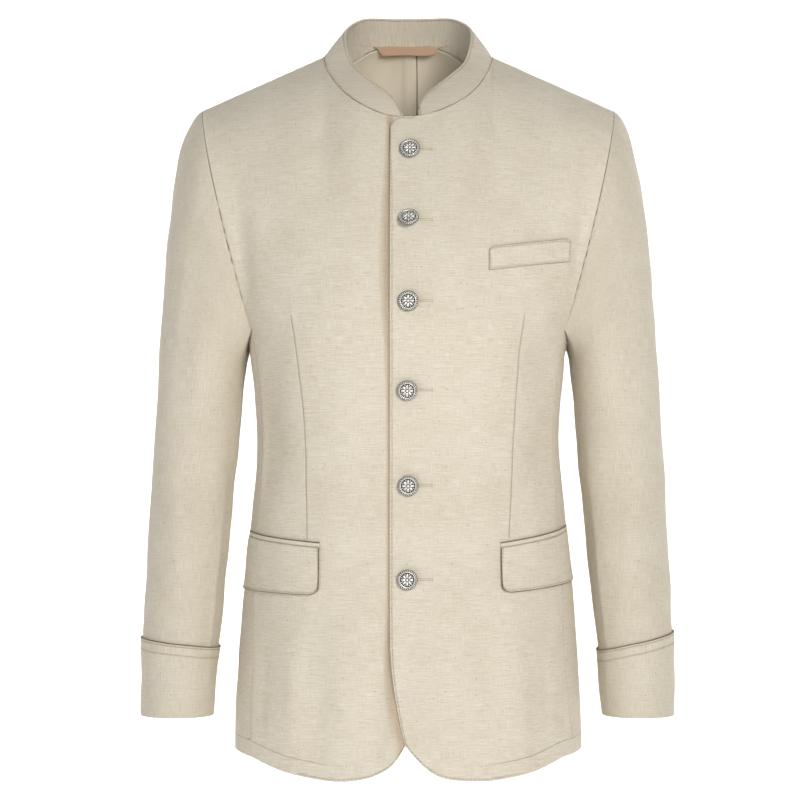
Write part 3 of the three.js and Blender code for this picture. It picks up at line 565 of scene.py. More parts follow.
@dataclass
class FrontPanel(Panel):
    """Front, from its edge (share 0) to the side seam (share 1)."""

    side: Side = LEFT
    rise: Table = FRONT_RISE
    middle: tuple[float, float] = (-52.0, -35.0)

    def place(self, share: Values, z: Values) -> np.ndarray:
        """Points on the rings below the chest.

        Args:
            share: Shares across the panel, 0 to 1.
            z: Heights.

        Returns:
            One point for each share and height.
        """
        half = BODY(z)["half"]
        lap = mix(FRONT_EDGE(z)["x"], self.side.lap_x, np.minimum(share / LAP_SHARE, 1))
        across = (share - LAP_SHARE) / (1 - LAP_SHARE)
        beyond = mix(angle_at(self.side.lap_x, half), seam_angle(z, False, self.side.swing), across)
        return body_point(np.where(share < LAP_SHARE, angle_at(lap, half), beyond), z)

    def ridge_x(self, share: Values) -> Values:
        """Where on the ridge the columns end.

        Args:
            share: Shares across the panel, 0 to 1.

        Returns:
            Outward x.
        """
        lap_x = self.side.lap_x
        slope = (NECK_HALF - lap_x) / (FRONT_NECK_SHARE - LAP_SHARE)
        lap = mix(-LAP_OUT, lap_x, share / LAP_SHARE)
        neck = lap_x + slope * (share - LAP_SHARE)
        shoulder = mix(NECK_HALF, TIP_X, (share - FRONT_NECK_SHARE) / (1 - FRONT_NECK_SHARE))
        return np.where(share < LAP_SHARE, lap, np.where(share < FRONT_NECK_SHARE, neck, shoulder))

    def in_neck(self, point: np.ndarray) -> np.ndarray:
        """True where points lie in the neck opening."""
        return point[..., 2] > NECK_SIDE_Z - NECK_DROP * neck_hollow(point[..., 0]) ** 1.2

    def hem(self, share: Values) -> Values:
        """Height of the hem, read by outward x."""
        x = self.place(share, np.full_like(share, HEM_LEVEL))[..., 0]
        return FRONT_HEMS[self.side.sign](x)["z"]

    def cut(self, share: Values) -> Values:
        """Share cut off a column at the rounded top corner of the lap.

        Args:
            share: Shares across the panel, 0 to 1.

        Returns:
            0 away from the corner.
        """
        out = 1 - share / LAP_SHARE
        round_off = 1 - np.sqrt(1 - np.clip((out - 0.5) / 0.5, 0, 1) ** 2)
        return 0.085 * round_off + self.side.drop * ease(out * 3)

    def reaches_neck(self, share: Values) -> np.ndarray:
        """True for columns that end on the neck seam."""
        return share < FRONT_NECK_SHARE

    def share_at(self, angles: np.ndarray) -> np.ndarray:
        """Shares whose columns meet the neck seam at angles round the neck."""
        across = NECK_HALF * np.sin(np.radians(angles)) - self.side.lap_x
        return mix(LAP_SHARE, FRONT_NECK_SHARE, across / (NECK_HALF - self.side.lap_x))


@dataclass
class BackPanel(Panel):
    """Back, from the side seam (share 0) to centre back (share 1)."""

    rise: Table = BACK_RISE
    middle: tuple[float, float] = (72.0, 33.0)

    def place(self, share: Values, z: Values) -> np.ndarray:
        """Points on the rings below the chest."""
        return body_point(mix(seam_angle(z, True), 180, share), z)

    def ridge_x(self, share: Values) -> Values:
        """Where on the ridge the columns end."""
        return TIP_X * (1 - share)

    def in_neck(self, point: np.ndarray) -> np.ndarray:
        """True where points lie in the neck opening."""
        return point[..., 1] < NECK_Y + NECK_BACK * neck_hollow(point[..., 0])

    def hem(self, share: Values) -> Values:
        """Height of the hem."""
        return mix(-735, -738, share)

    def reaches_neck(self, share: Values) -> np.ndarray:
        """True for columns that end on the neck seam."""
        return share > BACK_NECK_SHARE

    @staticmethod
    def share_at(angles: np.ndarray) -> np.ndarray:
        """Shares whose columns meet the neck seam at angles round the neck."""
        return 1 - NECK_HALF * np.sin(np.radians(angles)) / TIP_X


def side_grid(shares: Values, levels: Values, swing: float = 0.0) -> np.ndarray:
    """Side panel, hollowed under the arm.

    Args:
        shares: Shares from its front seam to its back seam.
        levels: Levels, -1 at the hem and 0 underarm.
        swing: Outward swing of the front seam.

    Returns:
        Points, a row for each level.
    """
    share, level = np.meshgrid(np.asarray(shares, float), np.asarray(levels, float))
    hollow = np.sin(np.pi * np.clip(share, 0, 1))
    hem = mix(-737 + 33 * swing, -735, share) + 3 * hollow
    z = mix(hem, UNDERARM_Z - 15 * hollow, level + 1)
    return body_point(mix(seam_angle(z, False, swing), seam_angle(z, True), share), z)


# ---- Sleeve surfaces
def armhole_point(column: np.ndarray) -> np.ndarray:
    """Armhole seam, from the front underarm over the tip and down the back to the side panel.

    Args:
        column: Places round the armhole, a whole turn is LOOP.

    Returns:
        Points of the seam.
    """
    place = np.mod(column, LOOP)
    points = np.zeros((*place.shape, 3))
    front, back = FrontPanel(), BackPanel()
    for i, at in enumerate(place):
        if at <= CHEST_ROWS:
            points[i] = front([1.0], [at / CHEST_ROWS])[0, 0]
        elif at <= 2 * CHEST_ROWS:
            points[i] = back([0.0], [2 - at / CHEST_ROWS])[0, 0]
        else:
            points[i] = side_grid([1 - (at - 2 * CHEST_ROWS) / SIDE_COLUMNS], [0.0])[0, 0]
    return points


def arm_angle(column: np.ndarray) -> np.ndarray:
    """Angle round the arm of columns of the armhole.

    Args:
        column: Places round the armhole.

    Returns:
        Angles in degrees, 0 outside and 90 in front.
    """
    place = np.mod(np.asarray(column, float) - CHEST_ROWS, LOOP)
    step = 150 / CHEST_ROWS
    back, front = 360 - place * step, (LOOP - place) * step
    under = mix(210, 150, (place - CHEST_ROWS) / SIDE_COLUMNS)
    return np.where(place <= CHEST_ROWS, back, np.where(place >= LOOP - CHEST_ROWS, front, under))


def arm_point(angle: Values, z: Values) -> np.ndarray:
    """Points of the arm's rings.

    Args:
        angle: Angles in degrees.
        z: Heights.

    Returns:
        One point for each angle and height.
    """
    angle, z = np.broadcast_arrays(np.asarray(angle, float), np.asarray(z, float))
    ring = ARM(z)
    reach = (ring["outer"] - ring["inner"]) / 2
    cosine = signed_power(np.cos(np.radians(angle)), 2 / ARM_SQUARENESS)
    sine = signed_power(np.sin(np.radians(angle)), 2 / ARM_SQUARENESS)
    x = (ring["outer"] + ring["inner"]) / 2 + reach * cosine
    return np.stack([x, ring["centre"] - ring["deep"] * sine, z], -1)


def sleeve_grid(columns: np.ndarray, levels: np.ndarray) -> np.ndarray:
    """Surface of a sleeve.

    Args:
        columns: Places round the armhole.
        levels: Levels, 0 wrist, 1 the first whole ring of the arm and 2 the armhole.

    Returns:
        Points, a row for each level.
    """
    angle = arm_angle(columns)
    level = np.asarray(levels, float)[:, None]
    arm = arm_point(angle[None, :], mix(SLEEVE_END_Z, ARM_TOP_Z, np.minimum(level, 1)))
    away_from = armhole_point(columns)
    to = arm_point(angle, ARM_TOP_Z)
    reach = np.linalg.norm(away_from - to, axis=-1, keepdims=True)
    cosine, sine = np.cos(np.radians(angle)), np.sin(np.radians(angle))
    leaving = unit(np.stack([0.55 + 0.3 * cosine, -0.45 * sine, -0.72 + 0.24 * cosine], -1))
    down = unit(arm_point(angle, ARM_TOP_Z - 1) - to)
    t = (2 - np.maximum(level, 1))[..., None]
    head = cubic(away_from, leaving * 0.4 * reach, to, down * 1.19 * reach, t)
    return np.where((level <= 1)[..., None], arm, head)


# ---- Relief: creases, rumple and puckers
def crease_height(
    rows: Sequence[tuple], across: np.ndarray, z: np.ndarray, turn: float = 0
) -> np.ndarray:
    """Height of creases over a face.

    Args:
        rows: (across0, z0, across1, z1, bow, width, depth) of each crease.
        across: Places across the face.
        z: Heights of the same places.
        turn: Length of a whole turn of across on a tube, 0 on an open face.

    Returns:
        Heights along the outward normal.
    """
    height = np.zeros_like(z)
    for x0, z0, x1, z1, bow, width, depth in rows:
        run = np.array([x1 - x0, z1 - z0])
        length = np.hypot(*run)
        dx, dz = across - x0, z - z0
        if turn:
            dx = np.mod(dx + turn / 2, turn) - turn / 2
        t = (dx * run[0] + dz * run[1]) / length**2
        inside = (t > 0) & (t < 1)
        ends = np.where(inside, 4 * t * (1 - t), 0)
        offset = (dx * run[1] - dz * run[0]) / length - bow * ends
        height += depth * np.exp(-((offset / width) ** 2)) * ends**1.5
    return height


@dataclass(frozen=True)
class Rumple:
    """Low uneven waves of handled linen, a field in space so that it runs on over every seam."""

    seed: int = 7
    count: int = 18
    shortest: float = 26.0
    longest: float = 150.0
    slope: float = 0.012

    def __call__(self, points: np.ndarray) -> np.ndarray:
        """Heights of the waves.

        Args:
            points: Points.

        Returns:
            Heights in mm.
        """
        rng = np.random.default_rng(self.seed)
        height = np.zeros(points.shape[:-1])
        for share in np.linspace(0, 1, self.count):
            wave = self.shortest * (self.longest / self.shortest) ** share
            direction = unit(rng.normal(size=3) * np.array([1.0, 0.7, 0.55]))
            phase = rng.uniform(0, 2 * np.pi)
            turns = points @ direction * (2 * np.pi / wave) + phase
            height += self.slope * wave / (2 * np.pi) * np.sin(turns)
        return height


def creases_of(face: Face, side: Side) -> list[tuple]:
    """Creases on one face of one side.

    Args:
        face: The face.
        side: The side.

    Returns:
        Rows of crease_height, sleeve angles turned into mm round the arm.
    """
    scale = ARM_DEGREE if face is Face.SLEEVE else 1.0
    rows = [*CREASES[face, side.sign], *CREASES.get((face, 0), ())]
    return [(row[0] * scale, row[1], row[2] * scale, *row[3:]) for row in rows]


def pucker(points: np.ndarray, distance: np.ndarray) -> np.ndarray:
    """Small ripples that the sewing draws into the cloth beside a seam."""
    turns = points[..., 2] / 2.3 + points[..., 0] / 2.7 + 1.7 * np.sin(points[..., 2] / 31)
    return 0.14 * np.exp(-distance / 6) * np.sin(turns) - 0.08 * np.exp(-((distance / 2.6) ** 2))


def dart_distance(
    points: Sequence[tuple[float, float]], x: np.ndarray, z: np.ndarray
) -> np.ndarray:
    """Distance of places from a steep line.

    Args:
        points: (x, z) along the line, from the top down.
        x: Outward x of the places.
        z: Heights of the places.

    Returns:
        Distances in mm, negative inside of the line.
    """
    high, low = points[0][1], points[-1][1]
    across = x - np.interp(z, [at for _, at in points[::-1]], [place for place, _ in points[::-1]])
    beyond = np.maximum(0, np.maximum(z - high, low - z))
    return np.where(across < 0, -1, 1) * np.hypot(across, 8 * beyond)


# ---- Grids and meshes
EDGES = ("start", "end", "foot", "top")
# Lines drawn on the cloth by its material: seams, rows of stitches, dark rims that are partly piping
# and partly painted shade, and a painted shadow band beside the front edge.
LINES = ("seam", "stitch", "rim", "fold")


def edged(values: Sequence[float]) -> np.ndarray:
    """Adds closer values beside both ends, where the cloth's edge is rounded.

    Args:
        values: Rising values.

    Returns:
        The values with four more.
    """
    a, b, y, z = values[0], values[1], values[-2], values[-1]
    head = [a, a + (b - a) * 0.1, a + (b - a) * 0.3]
    tail = [z - (z - y) * 0.3, z - (z - y) * 0.1, z]
    return np.array([*head, *values[1:-1], *tail])


def sample(at: np.ndarray, keys: np.ndarray, rows: np.ndarray) -> np.ndarray:
    """Reads vectors along lines of points.

    Args:
        at: The key to read each line at.
        keys: Rising keys along each line.
        rows: Vectors along each line.

    Returns:
        A vector for each line.
    """
    lines = zip(at, keys, rows)
    return np.array([[np.interp(a, key, row[:, k]) for k in range(3)] for a, key, row in lines])


def quads(index: np.ndarray) -> np.ndarray:
    """Faces between neighbours in a grid of vertex numbers."""
    return np.stack([index[:-1, :-1], index[:-1, 1:], index[1:, 1:], index[1:, :-1]], -1)


@dataclass
class Grid:
    """A sheet of cloth as a grid of points, rows from foot to top and columns from start to end.

    Its lines hold for each of LINES the signed distance in mm from the nearest such line.
    """

    points: np.ndarray
    sign: int = 1
    ring: bool = False
    lines: dict[str, np.ndarray] = field(default_factory=dict)

    def normals(self) -> np.ndarray:
        """Outward normals.

        Returns:
            A unit vector for each point.
        """
        if self.ring:
            along = np.roll(self.points, -1, axis=1) - np.roll(self.points, 1, axis=1)
        else:
            along = np.gradient(self.points, axis=1)
        up = np.gradient(self.points, axis=0)
        return unit(np.cross(along, up) * self.sign)

    def distances(self) -> dict[str, np.ndarray]:
        """Distance of every point from each edge, along its row or column.

        Returns:
            Distances in mm by edge.
        """
        across = np.linalg.norm(np.diff(self.points, axis=1), axis=-1)
        up = np.linalg.norm(np.diff(self.points, axis=0), axis=-1)
        start = np.pad(np.cumsum(across, axis=1), ((0, 0), (1, 0)))
        foot = np.pad(np.cumsum(up, axis=0), ((1, 0), (0, 0)))
        found = {"start": start, "end": start[:, -1:] - start}
        found.update(foot=foot, top=foot[-1:] - foot)
        if self.ring:
            found["start"] = found["end"] = np.full_like(start, FAR)
        return found

    def raised(self, height: np.ndarray) -> "Grid":
        """The sheet moved out along its normals."""
        points = self.points + self.normals() * height[..., None]
        return Grid(points, self.sign, self.ring, self.lines)

    def trimmed(self, edges: Sequence[str], gap: float = SEAM_GAP / 2) -> "Grid":
        """Pulls edges back from their seams.

        Args:
            edges: Names of EDGES.
            gap: How far, in mm.

        Returns:
            The smaller sheet.
        """
        points = self.points.copy()
        for edge in edges:
            rows = edge in ("foot", "top")
            last, near = (0, 1) if edge in ("start", "foot") else (-1, -2)
            at = (last, slice(None)) if rows else (slice(None), last)
            beside = (near, slice(None)) if rows else (slice(None), near)
            points[at] += unit(self.points[beside] - self.points[at]) * gap
        return Grid(points, self.sign, self.ring, self.lines)

    def inset(self, edge: str, distance: float) -> Lines:
        """Line over the sheet at a distance from one edge.

        Args:
            edge: One of EDGES.
            distance: Distance from it in mm.

        Returns:
            Points and normals along the line.
        """
        away = self.distances()[edge]
        points, normals = self.points, self.normals()
        if edge in ("foot", "top"):
            away, points, normals = away.T, points.transpose(1, 0, 2), normals.transpose(1, 0, 2)
        if edge in ("end", "top"):
            away, points, normals = away[:, ::-1], points[:, ::-1], normals[:, ::-1]
        at = np.full(len(away), distance)
        return sample(at, away, points), unit(sample(at, away, normals))

    def level_line(self, z: float, least: np.ndarray) -> np.ndarray:
        """A level line over the sheet.

        Args:
            z: Its height.
            least: Least height in each column.

        Returns:
            A point in each column.
        """
        columns = self.points.transpose(1, 0, 2)
        return sample(np.maximum(z, least), columns[..., 2], columns)

    def seat(self, x: float, z: float) -> Lines:
        """Place of something that sits on the sheet.

        Args:
            x: Its x in the front view.
            z: Its height.

        Returns:
            Point and normal there.
        """
        normals = self.normals()
        away = np.hypot(self.points[..., 0] - x, self.points[..., 2] - z)
        away = np.where(normals[..., 1] < 0, away, 1e9)
        i, j = np.unravel_index(np.argmin(away), away.shape)
        point, normal = self.points[i, j].copy(), normals[i, j]
        point[1] -= (normal[0] * (x - point[0]) + normal[2] * (z - point[2])) / normal[1]
        point[0], point[2] = x, z
        return point, normal

    def flat(self) -> tuple[float, float, float]:
        """Size of the cut.

        Returns:
            Width, length in metres and area in square metres.
        """
        away = self.distances()
        points = self.points
        if self.ring:
            points = np.concatenate([points, points[:, :1]], 1)
        across = np.diff(points, axis=1)
        width = np.linalg.norm(across, axis=-1).sum(axis=1).max()
        length = away["foot"][-1].max()
        up = np.diff(self.points, axis=0)
        cells = np.linalg.norm(np.cross(across[:-1], up[:, : across.shape[1]]), axis=-1)
        area = cells.sum()
        return width / 1000, length / 1000, min(area, 0.999 * width * length) / 1e6


@dataclass
class MeshPieces:
    """Vertices, faces and point values gathered for one mesh."""

    vertices: list[np.ndarray] = field(default_factory=list)
    faces: list[list[int]] = field(default_factory=list)
    values: list[np.ndarray] = field(default_factory=list)
    count: int = 0

    def add(
        self, vertices: np.ndarray, faces: Sequence[Sequence[int]], value: Values = 0.0
    ) -> None:
        """Adds one closed part.

        Args:
            vertices: Its points in mm.
            faces: Its faces by index into them.
            value: Its point value, one number or one for each point.
        """
        self.vertices.append(vertices)
        self.values.append(np.broadcast_to(np.asarray(value, float), len(vertices)))
        self.faces += (np.asarray(faces) + self.count).tolist()
        self.count += len(vertices)

    def build(self, name: str, value_name: str, material: Material) -> Object:
        """Makes the object.

        Args:
            name: Its name.
            value_name: Name of its point values.
            material: Its material.

        Returns:
            The object.
        """
        points = np.concatenate(self.vertices)
        uv = points[:, [0, 2]] / 10
        values = {value_name: np.concatenate(self.values)}
        return make_object(name, points, self.faces, uv, values, material)


def make_object(
    name: str,
    points: np.ndarray,
    faces: Sequence[Sequence[int]],
    uv: np.ndarray,
    values: dict[str, np.ndarray],
    material: Material,
) -> Object:
    """Makes a smooth mesh object.

    Args:
        name: Its name.
        points: Vertices in mm.
        faces: Faces by vertex.
        uv: Place of each vertex on the cloth, cm.
        values: Named numbers for each vertex.
        material: Its material.

    Returns:
        The object, linked to the scene.
    """
    mesh = bpy.data.meshes.new(name)
    mesh.from_pydata((points / 1000).tolist(), [], [list(map(int, face)) for face in faces])
    mesh.polygons.foreach_set("use_smooth", np.ones(len(mesh.polygons), bool))
    loops = np.zeros(len(mesh.loops), np.int32)
    mesh.loops.foreach_get("vertex_index", loops)
    layer = mesh.uv_layers.new(name="weave")
    layer.data.foreach_set("uv", uv[loops].astype(np.float32).ravel())
    for key, value in values.items():
        attribute = mesh.attributes.new(key, "FLOAT", "POINT")
        attribute.data.foreach_set("value", np.asarray(value, np.float32))
    mesh.materials.append(material)
    made = bpy.data.objects.new(name, mesh)
    bpy.context.scene.collection.objects.link(made)
    return made


def shell_faces(rows: int, columns: int, ring: bool, flip: bool) -> np.ndarray:
    """Faces of a closed shell over a grid, its outer vertices first and its inner ones after.

    Args:
        rows: Rows of the grid.
        columns: Its columns.
        ring: True where the last column meets the first.
        flip: True where the faces are turned over.

    Returns:
        Four vertices for each face.
    """
    index = np.arange(rows * columns).reshape(rows, columns)
    if ring:
        index = np.concatenate([index, index[:, :1]], 1)
    count = rows * columns
    outer = quads(index).reshape(-1, 4)
    parts = [outer, outer[:, ::-1] + count]
    edges = [(index[0], False), (index[-1], True)]
    if not ring:
        edges += [(index[:, 0], True), (index[:, -1], False)]
    for edge, turned in edges:
        band = np.stack([edge[:-1], edge[:-1] + count, edge[1:] + count, edge[1:]], -1)
        parts.append(band[:, ::-1] if turned else band)
    faces = np.concatenate(parts)
    return faces[:, ::-1] if flip else faces


@dataclass
class Shell:
    """A sheet of cloth with its thickness."""

    name: str
    grid: Grid
    thickness: float
    material: Material
    outer: float = 0.0
    rounding: float = 0.25
    turned_weave: bool = False

    def build(self) -> Object:
        """Makes the shell with rounded edges.

        Returns:
            The object.
        """
        grid = self.grid
        normals = grid.normals()
        away = grid.distances()
        nearest = np.minimum.reduce([away[edge] for edge in EDGES])
        share = np.clip(nearest / self.rounding, 0, 1)
        inward = self.thickness / 2 * (1 - np.sqrt(1 - (1 - share) ** 2)) * 0.9
        top = grid.points + normals * (self.outer - inward)[..., None]
        under = grid.points + normals * (self.outer - self.thickness + inward)[..., None]
        rows, columns = grid.points.shape[:2]
        steps = np.linalg.norm(np.diff(grid.points, axis=1), axis=-1)
        start = np.pad(np.cumsum(steps, axis=1), ((0, 0), (1, 0)))
        middle = start[:, columns // 2][:, None]
        place = np.stack([start - middle, away["foot"] + grid.points[:1, :, 2]], -1) / 10
        if self.turned_weave:
            place = place[..., ::-1]
        uv = np.concatenate([place.reshape(-1, 2), place.reshape(-1, 2) + 37.0])
        points = np.concatenate([top.reshape(-1, 3), under.reshape(-1, 3)])
        far = np.full((rows, columns), FAR)
        values = {kind: np.tile(np.ravel(grid.lines.get(kind, far)), 2) for kind in LINES}
        faces = shell_faces(rows, columns, grid.ring, grid.sign < 0)
        return make_object(self.name, points, faces, uv, values, self.material)


def tube(
    pieces: MeshPieces, path: np.ndarray, radii: Sequence[float], sides: int, value: float = 0.0
) -> None:
    """Adds a round tube along a path.

    Args:
        pieces: Where it is added.
        path: Points of its centre line in mm.
        radii: Its radius at each point.
        sides: Faces round it.
        value: Its point value.
    """
    along = unit(np.gradient(path, axis=0))
    helper = np.array([0.0, 0.0, 1.0]) if abs(along[0][2]) < 0.9 else np.array([1.0, 0.0, 0.0])
    across = unit(np.cross(along, helper))
    other = np.cross(along, across)
    turns = np.linspace(0, 2 * np.pi, sides, endpoint=False)
    rings = (
        path[:, None]
        + (across[:, None] * np.cos(turns)[:, None] + other[:, None] * np.sin(turns)[:, None])
        * np.asarray(radii)[:, None, None]
    )
    count = len(path)
    index = np.arange(count * sides).reshape(count, sides)
    wrapped = np.concatenate([index, index[:, :1]], 1)
    faces = np.stack([wrapped[:-1, :-1], wrapped[1:, :-1], wrapped[1:, 1:], wrapped[:-1, 1:]], -1)
    faces = faces.reshape(-1, 4).tolist()
    points = np.concatenate([rings.reshape(-1, 3), path[:1], path[-1:]])
    first, last = count * sides, count * sides + 1
    caps = [[first, wrapped[0][k + 1], wrapped[0][k]] for k in range(sides)]
    caps += [[last, wrapped[-1][k], wrapped[-1][k + 1]] for k in range(sides)]
    pieces.vertices.append(points)
    pieces.values.append(np.full(len(points), value))
    pieces.faces += [[int(corner) + pieces.count for corner in face] for face in faces + caps]
    pieces.count += len(points)


@dataclass
class Stitching:
    """A row of small hand-like stitches that dip into the cloth at both ends."""

    name: str
    material: Material
    stitch: float = 2.3
    pitch: float = 4.4
    radius: float = 0.3
    pieces: MeshPieces = field(default_factory=MeshPieces)

    def along(self, path: np.ndarray, normals: np.ndarray) -> "Stitching":
        """Adds a row along a line on the cloth.

        Args:
            path: Points on the cloth's outer face.
            normals: Outward normals there.

        Returns:
            Itself, so that rows can be chained.
        """
        steps = np.linalg.norm(np.diff(path, axis=0), axis=-1)
        far = np.concatenate([[0], np.cumsum(steps)])
        if far[-1] < self.pitch:
            return self
        starts = np.arange(self.pitch / 2, far[-1] - self.stitch, self.pitch)
        shares = np.array([0, 0.2, 0.5, 0.8, 1])
        lifts = np.array([-0.3, 0.08, 0.16, 0.08, -0.3])
        radii = self.radius * np.array([0.5, 0.95, 1.0, 0.95, 0.5])
        for start in starts:
            at = start + shares * self.stitch
            point = np.stack([np.interp(at, far, path[:, k]) for k in range(3)], -1)
            normal = unit(np.stack([np.interp(at, far, normals[:, k]) for k in range(3)], -1))
            tube(self.pieces, point + normal * lifts[:, None], radii, 5)
        return self

    def build(self) -> Object:
        """Makes the object."""
        return self.pieces.build(self.name, "tarnish_and_shade", self.material)


# ---- Finishes
def node(tree: Tree, kind: str, inputs: Optional[dict] = None, **settings) -> bpy.types.Node:
    """Adds one node.

    Args:
        tree: Node tree.
        kind: Its bl_idname.
        inputs: Value or source socket for each input, by name or number.
        settings: Its properties.

    Returns:
        The node.
    """
    made = tree.nodes.new(kind)
    for key, value in settings.items():
        setattr(made, key, value)
    for key, value in (inputs or {}).items():
        if isinstance(value, Socket):
            tree.links.new(value, made.inputs[key])
        else:
            made.inputs[key].default_value = value
    return made


def new_material(name: str) -> tuple[Material, Tree, bpy.types.Node]:
    """A material with a principled shader.

    Args:
        name: Its name.

    Returns:
        The material, its node tree and the shader node.
    """
    material = bpy.data.materials.new(name)
    material.use_nodes = True
    tree = material.node_tree
    return material, tree, tree.nodes["Principled BSDF"]


def drawn_lines(tree: Tree, colour: Socket) -> tuple[Socket, dict]:
    """Draws seams, rows of stitches, dark rims and a painted shadow band on a ground colour.

    Args:
        tree: Node tree.
        colour: The ground colour.

    Returns:
        The colour with the lines, and the distance from each kind of line.
    """
    far = {}
    for kind, reach, share, line_and_shade_colour in (
        ("seam", 0.8, 0.42, "#7D6E55"),
        ("stitch", 0.6, 0.1, "#7D6E55"),
        # Dark rims: painted shade along edges, partly a dark piping line.
        ("rim", 1.05, 0.92, "#66503A"),
        # Painted shadow: a soft warm shadow band beside the overlapping front's edge.
        ("fold", 13.0, 0.5, "#A5825A"),
    ):
        signed = node(tree, "ShaderNodeAttribute", attribute_name=kind).outputs["Fac"]
        far[kind] = node(tree, "ShaderNodeMath", {0: signed}, operation="ABSOLUTE").outputs[0]
        fall = {"Value": far[kind], "From Min": 0.3 * reach, "From Max": reach}
        fall |= {"To Min": share, "To Max": 0.0}
        drawn = {0: node(tree, "ShaderNodeMapRange", fall).outputs[0], 6: colour, 7: linear(line_and_shade_colour)}
        colour = node(tree, "ShaderNodeMix", drawn, data_type="RGBA").outputs[2]
    return colour, far


@dataclass(frozen=True)
class Linen:
    """Natural linen, plain woven from uneven yarns.

    Its slubs show as fine streaks along the weft and fewer ones up the warp, a little darker or
    paler than the ground, with a few seed-brown specks; the face is matt with a faint sheen.
    """

    name: str
    dark: str = "#CBC0AA"
    light: str = "#EAE3D4"
    tan: str = "#B39D78"
    seed: str = "#6E5A3E"
    weft: float = 0.8
    warp: float = 0.6
    # In cm on the cloth: a slub, its thickness of one thread, and the spacing of the threads.
    slub_length: float = 1.05
    slub_thick: float = 0.055
    thread: float = 0.055

    def build(self) -> Material:
        """Makes the material.

        Returns:
            The material.
        """
        material, tree, shader = new_material(self.name)
        weave = node(tree, "ShaderNodeUVMap", uv_map="weave").outputs["UV"]

        def streaks(length: float, thick: float, turned: bool, detail: float) -> Socket:
            """Noise drawn out along the yarns.

            Args:
                length: Length of a streak, cm.
                thick: Its thickness, cm.
                turned: True up the warp, False along the weft.
                detail: Octaves of the noise.

            Returns:
                The noise.
            """
            scale = (1 / thick, 1 / length, 1) if turned else (1 / length, 1 / thick, 1)
            place = node(tree, "ShaderNodeMapping", {"Vector": weave, "Scale": scale}).outputs[0]
            inputs = {"Vector": place, "Scale": 1.0, "Detail": detail, "Roughness": 0.6}
            return node(tree, "ShaderNodeTexNoise", inputs, noise_dimensions="2D").outputs[0]

        def sum_of(*terms: tuple[Socket, float]) -> Socket:
            """Adds sockets to a ground of 0.5.

            Args:
                terms: Each socket and its share, taken from its middle.

            Returns:
                The sum.
            """
            total = 0.5
            for socket, share in terms:
                centred = node(tree, "ShaderNodeMath", {0: socket, 1: 0.5}, operation="SUBTRACT")
                inputs = {0: centred.outputs[0], 1: share, 2: total}
                total = node(tree, "ShaderNodeMath", inputs, operation="MULTIPLY_ADD").outputs[0]
            return total

        weft = streaks(self.slub_length, self.slub_thick, False, 3.0)
        warp = streaks(self.slub_length * 1.4, self.slub_thick, True, 3.0)
        long_weft = streaks(self.slub_length * 3, self.slub_thick * 1.8, False, 1.0)
        clouds = {"Vector": weave, "Scale": 0.16, "Detail": 2.0}
        cloud = node(tree, "ShaderNodeTexNoise", clouds).outputs[0]
        yarns = (weft, 1.5 * self.weft), (warp, 1.5 * self.warp)
        tone = sum_of(*yarns, (long_weft, 0.9 * self.weft), (cloud, 0.5))
        colours = {0: tone, 6: linear(self.dark), 7: linear(self.light)}
        ground = node(tree, "ShaderNodeMix", colours, data_type="RGBA", clamp_factor=True)
        heavy = streaks(self.slub_length * 0.7, self.slub_thick * 1.3, False, 2.0)
        band = {"Value": heavy, "From Min": 0.66, "From Max": 0.78, "To Min": 0.0, "To Max": 0.42}
        share = node(tree, "ShaderNodeMapRange", band).outputs[0]
        slubbed = {0: share, 6: ground.outputs[2], 7: linear(self.tan)}
        slubs = node(tree, "ShaderNodeMix", slubbed, data_type="RGBA").outputs[2]
        spots = {"Vector": weave, "Scale": 0.3}
        cells = node(tree, "ShaderNodeTexVoronoi", spots, voronoi_dimensions="2D")
        inside = {"Value": cells.outputs["Distance"], "From Min": 0.012, "From Max": 0.022}
        inside |= {"To Min": 0.5, "To Max": 0.0}
        speck = node(tree, "ShaderNodeMapRange", inside).outputs[0]
        specks = {0: speck, 6: slubs, 7: linear(self.seed)}
        speckled = node(tree, "ShaderNodeMix", specks, data_type="RGBA").outputs[2]
        colour, far = drawn_lines(tree, speckled)
        tree.links.new(colour, shader.inputs["Base Color"])
        threads = [(streaks(0.5, self.thread, turned, 1.0), 1.0) for turned in (False, True)]
        height = sum_of(*threads, (weft, 0.8 * self.weft), (warp, 0.8 * self.warp))
        fine = {"Height": height, "Strength": 0.5, "Distance": 0.0006}
        cloth = node(tree, "ShaderNodeBump", fine).outputs[0]
        sewn = {0: far["seam"], 1: far["stitch"]}
        near = node(tree, "ShaderNodeMath", sewn, operation="MINIMUM").outputs[0]
        dip = {"Value": near, "From Min": 0.0, "From Max": 1.4, "To Min": 0.0, "To Max": 1.0}
        groove = node(tree, "ShaderNodeMapRange", dip, interpolation_type="SMOOTHSTEP").outputs[0]
        relief = {"Height": groove, "Strength": 0.8, "Distance": 0.0008, "Normal": cloth}
        tree.links.new(node(tree, "ShaderNodeBump", relief).outputs[0], shader.inputs["Normal"])
        shader.inputs["Roughness"].default_value = 0.88
        shader.inputs["Specular IOR Level"].default_value = 0.28
        shader.inputs["Sheen Weight"].default_value = 0.12
        shader.inputs["Sheen Roughness"].default_value = 0.5
        return material


